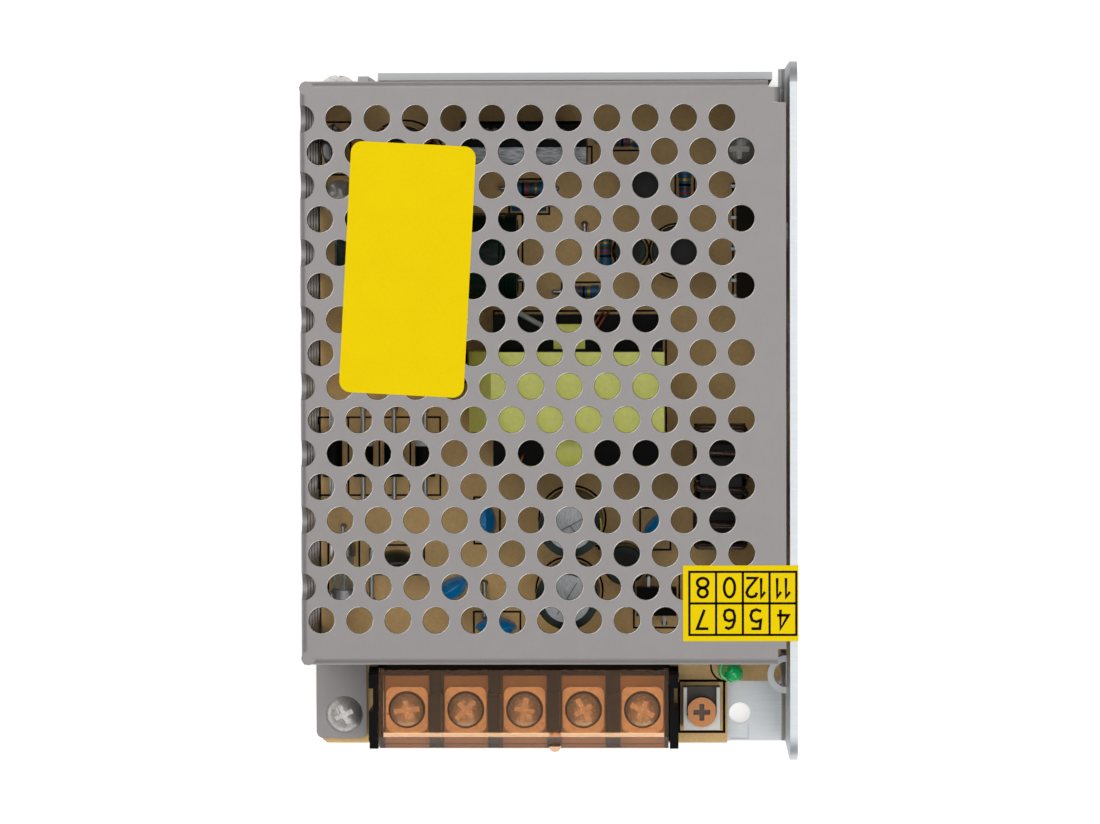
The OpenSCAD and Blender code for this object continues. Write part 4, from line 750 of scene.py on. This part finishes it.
def number_print():
    """The grid of terminal numbers, read from the rear."""
    low, high = box_mm("number_label")
    shape = Shape()
    z, side, end, digit_h, stroke, grid = high.z, 1.0, 0.35, 3.0, 0.44, 0.36
    x0, x1, y0, y1 = low.x + side, high.x - end, low.y + side, high.y - side
    rows, columns = len(NUMBER_ROWS), len(NUMBER_ROWS[0])
    cell_w, cell_h = (x1 - x0) / columns, (y1 - y0) / rows

    def rule(points, closed=False):
        shape.ribbon(points, grid, z, z + INK_T, closed=closed)

    rule([(x0, y0), (x1, y0), (x1, y1), (x0, y1)], True)
    for k in range(1, columns):
        rule([(x0 + k * cell_w, y0), (x0 + k * cell_w, y1)])
    rule([(x0, (y0 + y1) / 2), (x1, (y0 + y1) / 2)])
    for row, numbers in enumerate(NUMBER_ROWS):
        for column, number in enumerate(numbers):
            x, y = x0 + (column + 0.5) * cell_w, y0 + (row + 0.5) * cell_h
            left = -sum(ADVANCE.get(digit, WIDE_ADVANCE) for digit in number) * digit_h / 2
            for digit in number:
                advance = ADVANCE.get(digit, WIDE_ADVANCE) * digit_h
                inset = (advance - GLYPH_W * digit_h) / 2
                place = at(x, y) @ turned(180) @ at(left + inset, -digit_h / 2)
                draw_digit(shape, digit, digit_h, stroke, z, place)
                left += advance
    piece("number_print", shape, "ink")


# ---------------------------------------------------------------- lamp

# mm on the board, and degrees: as in the CAD node that its lens stands for
LED_FOOT = (28.0, -42.3)
LED_TURN, LED_LEAN = -27, 12


def lamp():
    foot_z = box_mm("power_led")[0].z
    lead_r, half_pitch = 0.25, 1.27
    place = at(*LED_FOOT, BOARD) @ turned(LED_TURN) @ turned(LED_LEAN, "Y")
    base, r, height = LED_FLANGE_Z, 1.5, 5.3
    profile = [(0.02, base), (r + 0.2, base), (r + 0.38, base + 0.15), (r + 0.38, base + 0.75),
               (r + 0.25, base + 0.9), (r, base + 0.92)]
    dome = [(r * math.cos(a), base + height - r + r * math.sin(a))
            for a in [math.pi / 2 * k / 10 for k in range(11)]]
    dome[-1] = (0.02, dome[-1][1])
    lens = Shape()
    lens.lathe(profile + dome, place, 40)
    piece("led_lens", lens, "green_lens", replaces=("power_led",))
    posts = Shape()
    for outline in ([(-0.95, base + 0.1), (-0.2, base + 0.1), (-0.3, base + 2.1),
                     (0.35, base + 2.5), (0.3, base + 3), (-0.75, base + 3), (-1.0, base + 1.6)],
                    [(0.45, base + 0.1), (0.95, base + 0.1), (0.95, base + 3.1), (0.6, base + 3.1),
                     (0.5, base + 2.3)]):
        posts.prism(outline, -0.2, 0.2, place @ turned(90, "Y") @ turned(90))
    for side in (-1, 1):
        top = place @ Vector((0, side * half_pitch, base + 0.2))
        knee = place @ Vector((0, side * half_pitch, 0.25))
        posts.tube([top, knee, (knee.x, knee.y, foot_z)], lead_r, 8)
    piece("led_legs", posts, "tinned_wire")


# ---------------------------------------------------------------- wound parts

def turn_loop(rho0, rho1, h0, h1, corner, steps=4):
    """One turn's path round a section, as (radius, height) points."""
    loop = []
    for cx, cy, start in ((rho1, h1, 0), (rho0, h1, 1), (rho0, h0, 2), (rho1, h0, 3)):
        cx -= math.copysign(corner, cx - (rho0 + rho1) / 2)
        cy -= math.copysign(corner, cy - (h0 + h1) / 2)
        for k in range(steps + 1):
            a = (start + k / steps) * math.pi / 2
            loop.append((cx + corner * math.cos(a), cy + corner * math.sin(a)))
    return loop


def winding(shape, loop, turns, first, last, place, radius, before=(), after=()):
    """A wire wound round a ring's section from the first angle to the last."""
    path = []
    total = turns * len(loop)
    for k in range(total):
        rho, height = loop[k % len(loop)]
        a = first + (last - first) * k / (total - 1)
        path.append(place @ Vector((rho * math.cos(a), rho * math.sin(a), height)))
    shape.tube([Vector(p) for p in before] + path + [Vector(p) for p in after], radius, 10)


def output_choke():
    low, high = box_mm("output_choke_core")
    c = middle((low, high))
    outer, inner, half, wire = (high.y - low.y) / 2, 4.5, (high.x - low.x) / 2, 0.55
    loop = turn_loop(inner - wire - 0.03, outer + wire + 0.03,
                     -half - wire - 0.03, half + wire + 0.03, 0.6)
    place = at(*c) @ turned(90, "Y")
    foot = box_mm("output_choke_winding")[0].z
    shape = Shape()
    leads = [[(c.x, c.y + s * 7.5, foot), (c.x, c.y + s * 7.5, BOARD + 0.8),
              (c.x + 1.5, c.y + s * 7.3, BOARD + 2),
              (c.x + half + wire, c.y + s * 6.2, BOARD + 2.6)] for s in (1, -1)]
    winding(shape, loop, 16, math.radians(36), math.radians(324), place, wire,
            leads[0], leads[1][::-1])
    piece("output_choke_wire", shape, "dark_enamel",
          replaces=("output_choke_winding",))


def line_choke():
    low, high = box_mm("line_choke_core")
    c = middle((low, high))
    outer, inner, half, wire = (high.x - low.x) / 2, 2.08, (high.z - low.z) / 2, 0.32
    loop = turn_loop(inner - wire, outer + wire + 0.03,
                     -half - wire - 0.03, half + wire + 0.03, 0.4)
    foot = box_mm("line_choke_winding")[0].z
    shape = Shape()
    for side in (0, 180):
        place = at(*c) @ turned(side)
        reach = 4 if side == 0 else -4
        leads = [[(c.x + reach, c.y + s * reach, foot), (c.x + reach, c.y + s * reach, BOARD + 0.6),
                  (c.x + reach * 1.1, c.y + s * reach * 1.05, BOARD + 1.4)] for s in (-1, 1)]
        winding(shape, loop, 8, math.radians(-58), math.radians(58), place, wire,
                leads[0], leads[1][::-1])
    piece("line_choke_wire", shape, "enamelled_copper",
          replaces=("line_choke_winding",))


def transformer_details():
    """The magnet wires, the sleeved wire and the loose ends of tape round the bobbin."""
    low, high = box_mm("transformer_bobbin")
    c = middle((low, high))
    flange = high.z
    wires = Shape()
    for x, y, slant in ((c.x + 3.4, high.y, 0.55), (c.x + 4.3, high.y, 0.55),
                        (c.x - 9.5, low.y, -0.3), (c.x + 8.6, low.y, 0.4)):
        s = 1 if y > c.y else -1
        wires.tube(smooth_path([
            (x - slant * 3, y - s * 2.6, flange - 1.2),
            (x - slant * 2.4, y - s * 2.2, flange + 0.25), (x, y - s * 0.2, flange + 0.3),
            (x + slant, y + s * 0.35, flange - 1.4), (x + slant, y + s * 0.3, flange - 8)]), 0.2, 8)
    piece("transformer_wires", wires, "enamelled_copper")
    sleeve = Shape()
    sleeve.tube(smooth_path([
        (c.x - 9.6, high.y + 0.5, flange - 6), (c.x - 9.5, high.y + 0.5, flange - 0.8),
        (c.x - 8.4, high.y - 0.2, flange + 0.55), (c.x - 5.2, high.y - 2.0, flange + 0.5),
        (c.x - 4.6, high.y - 2.6, flange - 0.6)]), 0.45, 12)
    piece("transformer_sleeve", sleeve, "sleeve_grey")
    tape = Shape()
    core = box_mm("transformer_core")
    thick, x = 0.16, c.x - 1.4
    for s, y_in, edge, width in ((1, core[1].y + 0.3, high.y - 1.6, 5.0),
                                 (-1, core[0].y - 0.3, low.y, 5.8)):
        reach = abs(edge - y_in)
        section = [(0, flange + 0.02), (reach * 0.5, flange + 0.5), (reach, flange + 0.28),
                   (reach + 0.28, flange - 0.2), (reach + 0.3, flange - 2.6)]
        rings = []
        for k, (d, z) in enumerate(section):
            side = Vector((0, -thick)) if k < 3 else Vector((-thick, 0))
            rings.append([(x - width / 2, y_in + s * d, z), (x + width / 2, y_in + s * d, z),
                          (x + width / 2, y_in + s * (d + side.x), z + side.y),
                          (x - width / 2, y_in + s * (d + side.x), z + side.y)])
        tape.loft(rings)
    piece("transformer_tape_tabs", tape, "winding_tape", sharp=60)
    lap = Shape()
    tape_box = box_mm("transformer_tape")
    lap.bar((c.x + 4.5, core[0].y + 0.15, tape_box[1].z),
            (tape_box[1].x - 0.02, core[1].y - 0.15, tape_box[1].z + 0.07))
    piece("transformer_tape_lap", lap, "winding_tape")


# ---------------------------------------------------------------- small parts

def band(shape, box, along, width, r):
    """A painted ring round an axial part of radius r, at a distance along it from its middle."""
    c, z = middle(box), axis_z(2 * r)
    if along_x(box):
        place = at(c.x + along, c.y, z) @ turned(90, "Y")
    else:
        place = at(c.x, c.y + along, z) @ turned(-90, "X")
    shape.lathe([(r + 0.03, -width / 2), (r + 0.03, width / 2),
                 (r - 0.1, width / 2), (r - 0.1, -width / 2)], place, 28, wrap=True)


def bands():
    colours = ("band_brown", "ink", "band_red", "band_gold")
    shapes = {name: Shape() for name in colours}
    for k, box in enumerate(RESISTORS):
        for i, offset in enumerate((-1.0, -0.35, 0.3, 1.15)):
            name = colours[(i + k) % 3] if i < 3 else "band_gold"
            band(shapes[name], box, offset, 0.36, RESISTOR_R)
    for name, slot in zip(colours, ("teal_coating", "black_resin", "teal_coating", "teal_coating")):
        piece("resistor_" + name, shapes[name], name)
    silver = Shape()
    for k, box in enumerate(DIODES):
        band(silver, box, 2.2 if k % 2 else -2.2, 0.9, DIODE_R)
    piece("diode_bands", silver, "stripe_grey")


def sleeve_rims():
    """The sleeve's edge, shrunk over the rim of each can."""
    shape = Shape()
    for low, high in SMALL_CAPS:
        c, r = middle((low, high)), (high.x - low.x) / 2
        shape.lathe([(r + 0.02, high.z - 0.9), (r + 0.05, high.z - 0.35), (r - 0.15, high.z + 0.06),
                     (r - 0.75, high.z + 0.06), (r - 0.75, high.z + 0.005),
                     (r - 0.3, high.z - 0.9)], at(c.x, c.y), 36, wrap=True)
    y, r = middle((bulk_low, bulk_high)).y, BULK_R
    shape.lathe([(r + 0.02, 1.2), (r + 0.04, 0.4), (r - 0.2, -0.02), (r - 1.1, -0.02),
                 (r - 1.1, 0.01), (r - 0.4, 1.2)],
                at(bulk_low.x, y, BULK_Z) @ turned(90, "Y"), 48, wrap=True)
    piece("capacitor_rims", shape, "dark_sleeve", sharp=50)
    seal = Shape()
    seal.lathe([(0.02, -0.05), (r - 1.0, -0.05), (r - 1.0, 0.06), (0.02, 0.06)],
               at(BULK_END, y, BULK_Z) @ turned(90, "Y"), 40)
    piece("capacitor_seal", seal, "seal_rubber")


def can_scores():
    """The pressure-relief scores pressed into the top of each output can."""
    shape = Shape()
    for k, (low, high) in enumerate(solids("output_capacitor_cans")):
        c, r, z = middle((low, high)), (high.x - low.x) / 2, high.z
        for angle, start, stop in ((58, -0.62, 0.62), (150 + 8 * k, -0.62, -0.02)):
            a = math.radians(angle - 30 * k)
            ends = [(c.x + r * t * math.cos(a), c.y + r * t * math.sin(a)) for t in (start, stop)]
            shape.ribbon(ends, 0.16, z - 0.05, z + 0.012)
    piece("can_scores", shape, "score_shadow")


def stripes():
    """The stripe down each sleeve that marks the negative lead."""
    yellow, grey = Shape(), Shape()

    def shell(shape, r, start, arc, z0, z1, place):
        outline = circle(r + 0.04, 8, start, arc) + circle(r - 0.1, 8, start, arc)[::-1]
        shape.prism(outline, z0, z1, place)

    for k, (low, high) in enumerate(OUT_CAPS):
        c, r = middle((low, high)), (high.x - low.x) / 2
        shell(yellow, r, math.radians(150 + 60 * k), math.radians(44),
              low.z + 0.4, high.z - 1.0, at(c.x, c.y))
    for k, (low, high) in enumerate(SMALL_CAPS):
        c, r = middle((low, high)), (high.x - low.x) / 2
        shell(grey, r, math.radians(160), math.radians(50),
              BOARD + 0.8, high.z - 1.0, at(c.x, c.y))
    y = middle((bulk_low, bulk_high)).y
    shell(yellow, BULK_R, math.radians(-100), math.radians(30), 1.5, BULK_END - bulk_low.x - 1.5,
          at(bulk_low.x, y, BULK_Z) @ turned(90, "Y"))
    piece("stripes_yellow", yellow, "yellow_mark")
    piece("stripes_grey", grey, "stripe_grey")


def fuse_wire():
    """The thin wire inside the fuse's glass."""
    shape = Shape()
    z = axis_z(FUSE_D)
    half = FUSE_GLASS / 2
    shape.tube([(fuse_mid.x, fuse_mid.y - half - 0.5, z), (fuse_mid.x + 0.2, fuse_mid.y, z - 0.25),
                (fuse_mid.x, fuse_mid.y + half + 0.5, z)], 0.12, 8)
    piece("fuse_wire", shape, "tinned_wire")


# mm: a vent is 4.3 wide, and the other loops in the cover's top are narrower
VENT_WIDTHS = (3.5, 5)


def top_vents():
    """(x, y, radius) of each round vent in the cover's top, from the sharp edges round it."""
    bm = welded("mesh_cover")
    top = box_mm("mesh_cover")[1].z * MM

    def on_rim(edge):
        """Whether an edge of the top has a flat face on one side and a wall on the other."""
        return (len(edge.link_faces) == 2 and all(abs(v.co.z - top) < 1e-6 for v in edge.verts)
                and sorted(abs(f.normal.z) > 0.9 for f in edge.link_faces) == [False, True])

    rim = {edge for edge in bm.edges if on_rim(edge)}
    loops = connected(sorted(rim, key=lambda e: e.index),
                      lambda edge: [e for v in edge.verts for e in v.link_edges if e in rim])
    vents = []
    for loop in loops:
        points = [v.co / MM for edge in loop for v in edge.verts]
        xs, ys = [p.x for p in points], [p.y for p in points]
        wide, deep = max(xs) - min(xs), max(ys) - min(ys)
        if VENT_WIDTHS[0] < wide < VENT_WIDTHS[1] and abs(wide - deep) < 0.1:
            vents.append(((max(xs) + min(xs)) / 2, (max(ys) + min(ys)) / 2, wide / 2))
    bm.free()
    return sorted(vents)


def vent_rims():
    """The bright burr round each vent in the cover's top."""
    shape = Shape()
    z = box_mm("mesh_cover")[1].z
    for x, y, r in top_vents():
        shape.lathe([(r + 0.06, z - 0.02), (r + 0.01, z + 0.015), (r - 0.02, z + 0.005),
                     (r - 0.12, z - 0.14), (r - 0.12, z - 0.3), (r + 0.05, z - 0.3)],
                    at(x, y), 28, wrap=True)
    piece("vent_rims", shape, "vent_edge", sharp=60)


def solder_joints():
    """Solder cones round the lead ends under the board."""
    shape = Shape()
    pins, pitch = 8, 2.54
    board_low = box_mm("circuit_board")[0].z
    spots = []
    for low, high in DIODES + [fuse] + RESISTORS:
        if along_x((low, high)):
            y = (low.y + high.y) / 2
            spots += [(low.x + 0.4, y), (high.x - 0.4, y)]
        else:
            x = (low.x + high.x) / 2
            spots += [(x, low.y + 0.4), (x, high.y - 0.4)]
    low, high = chip
    for k in range(pins):
        y = (low.y + high.y) / 2 + (k - (pins - 1) / 2) * pitch
        spots += [(low.x + 0.25, y), (high.x - 0.25, y)]
    foot = box_mm("fuse")[0].z
    for x, y in spots:
        shape.lathe([(1.0, board_low), (0.75, board_low - 0.15), (0.45, board_low - 0.6),
                     (0.3, foot - 0.02)], at(x, y), 16)
    piece("solder_joints", shape, "tinned_wire", sharp=60)


board_print()
number_print()
lamp()
output_choke()
line_choke()
transformer_details()
bands()
sleeve_rims()
can_scores()
stripes()
fuse_wire()
vent_rims()
solder_joints()

make_camera()
make_floor()
make_light()
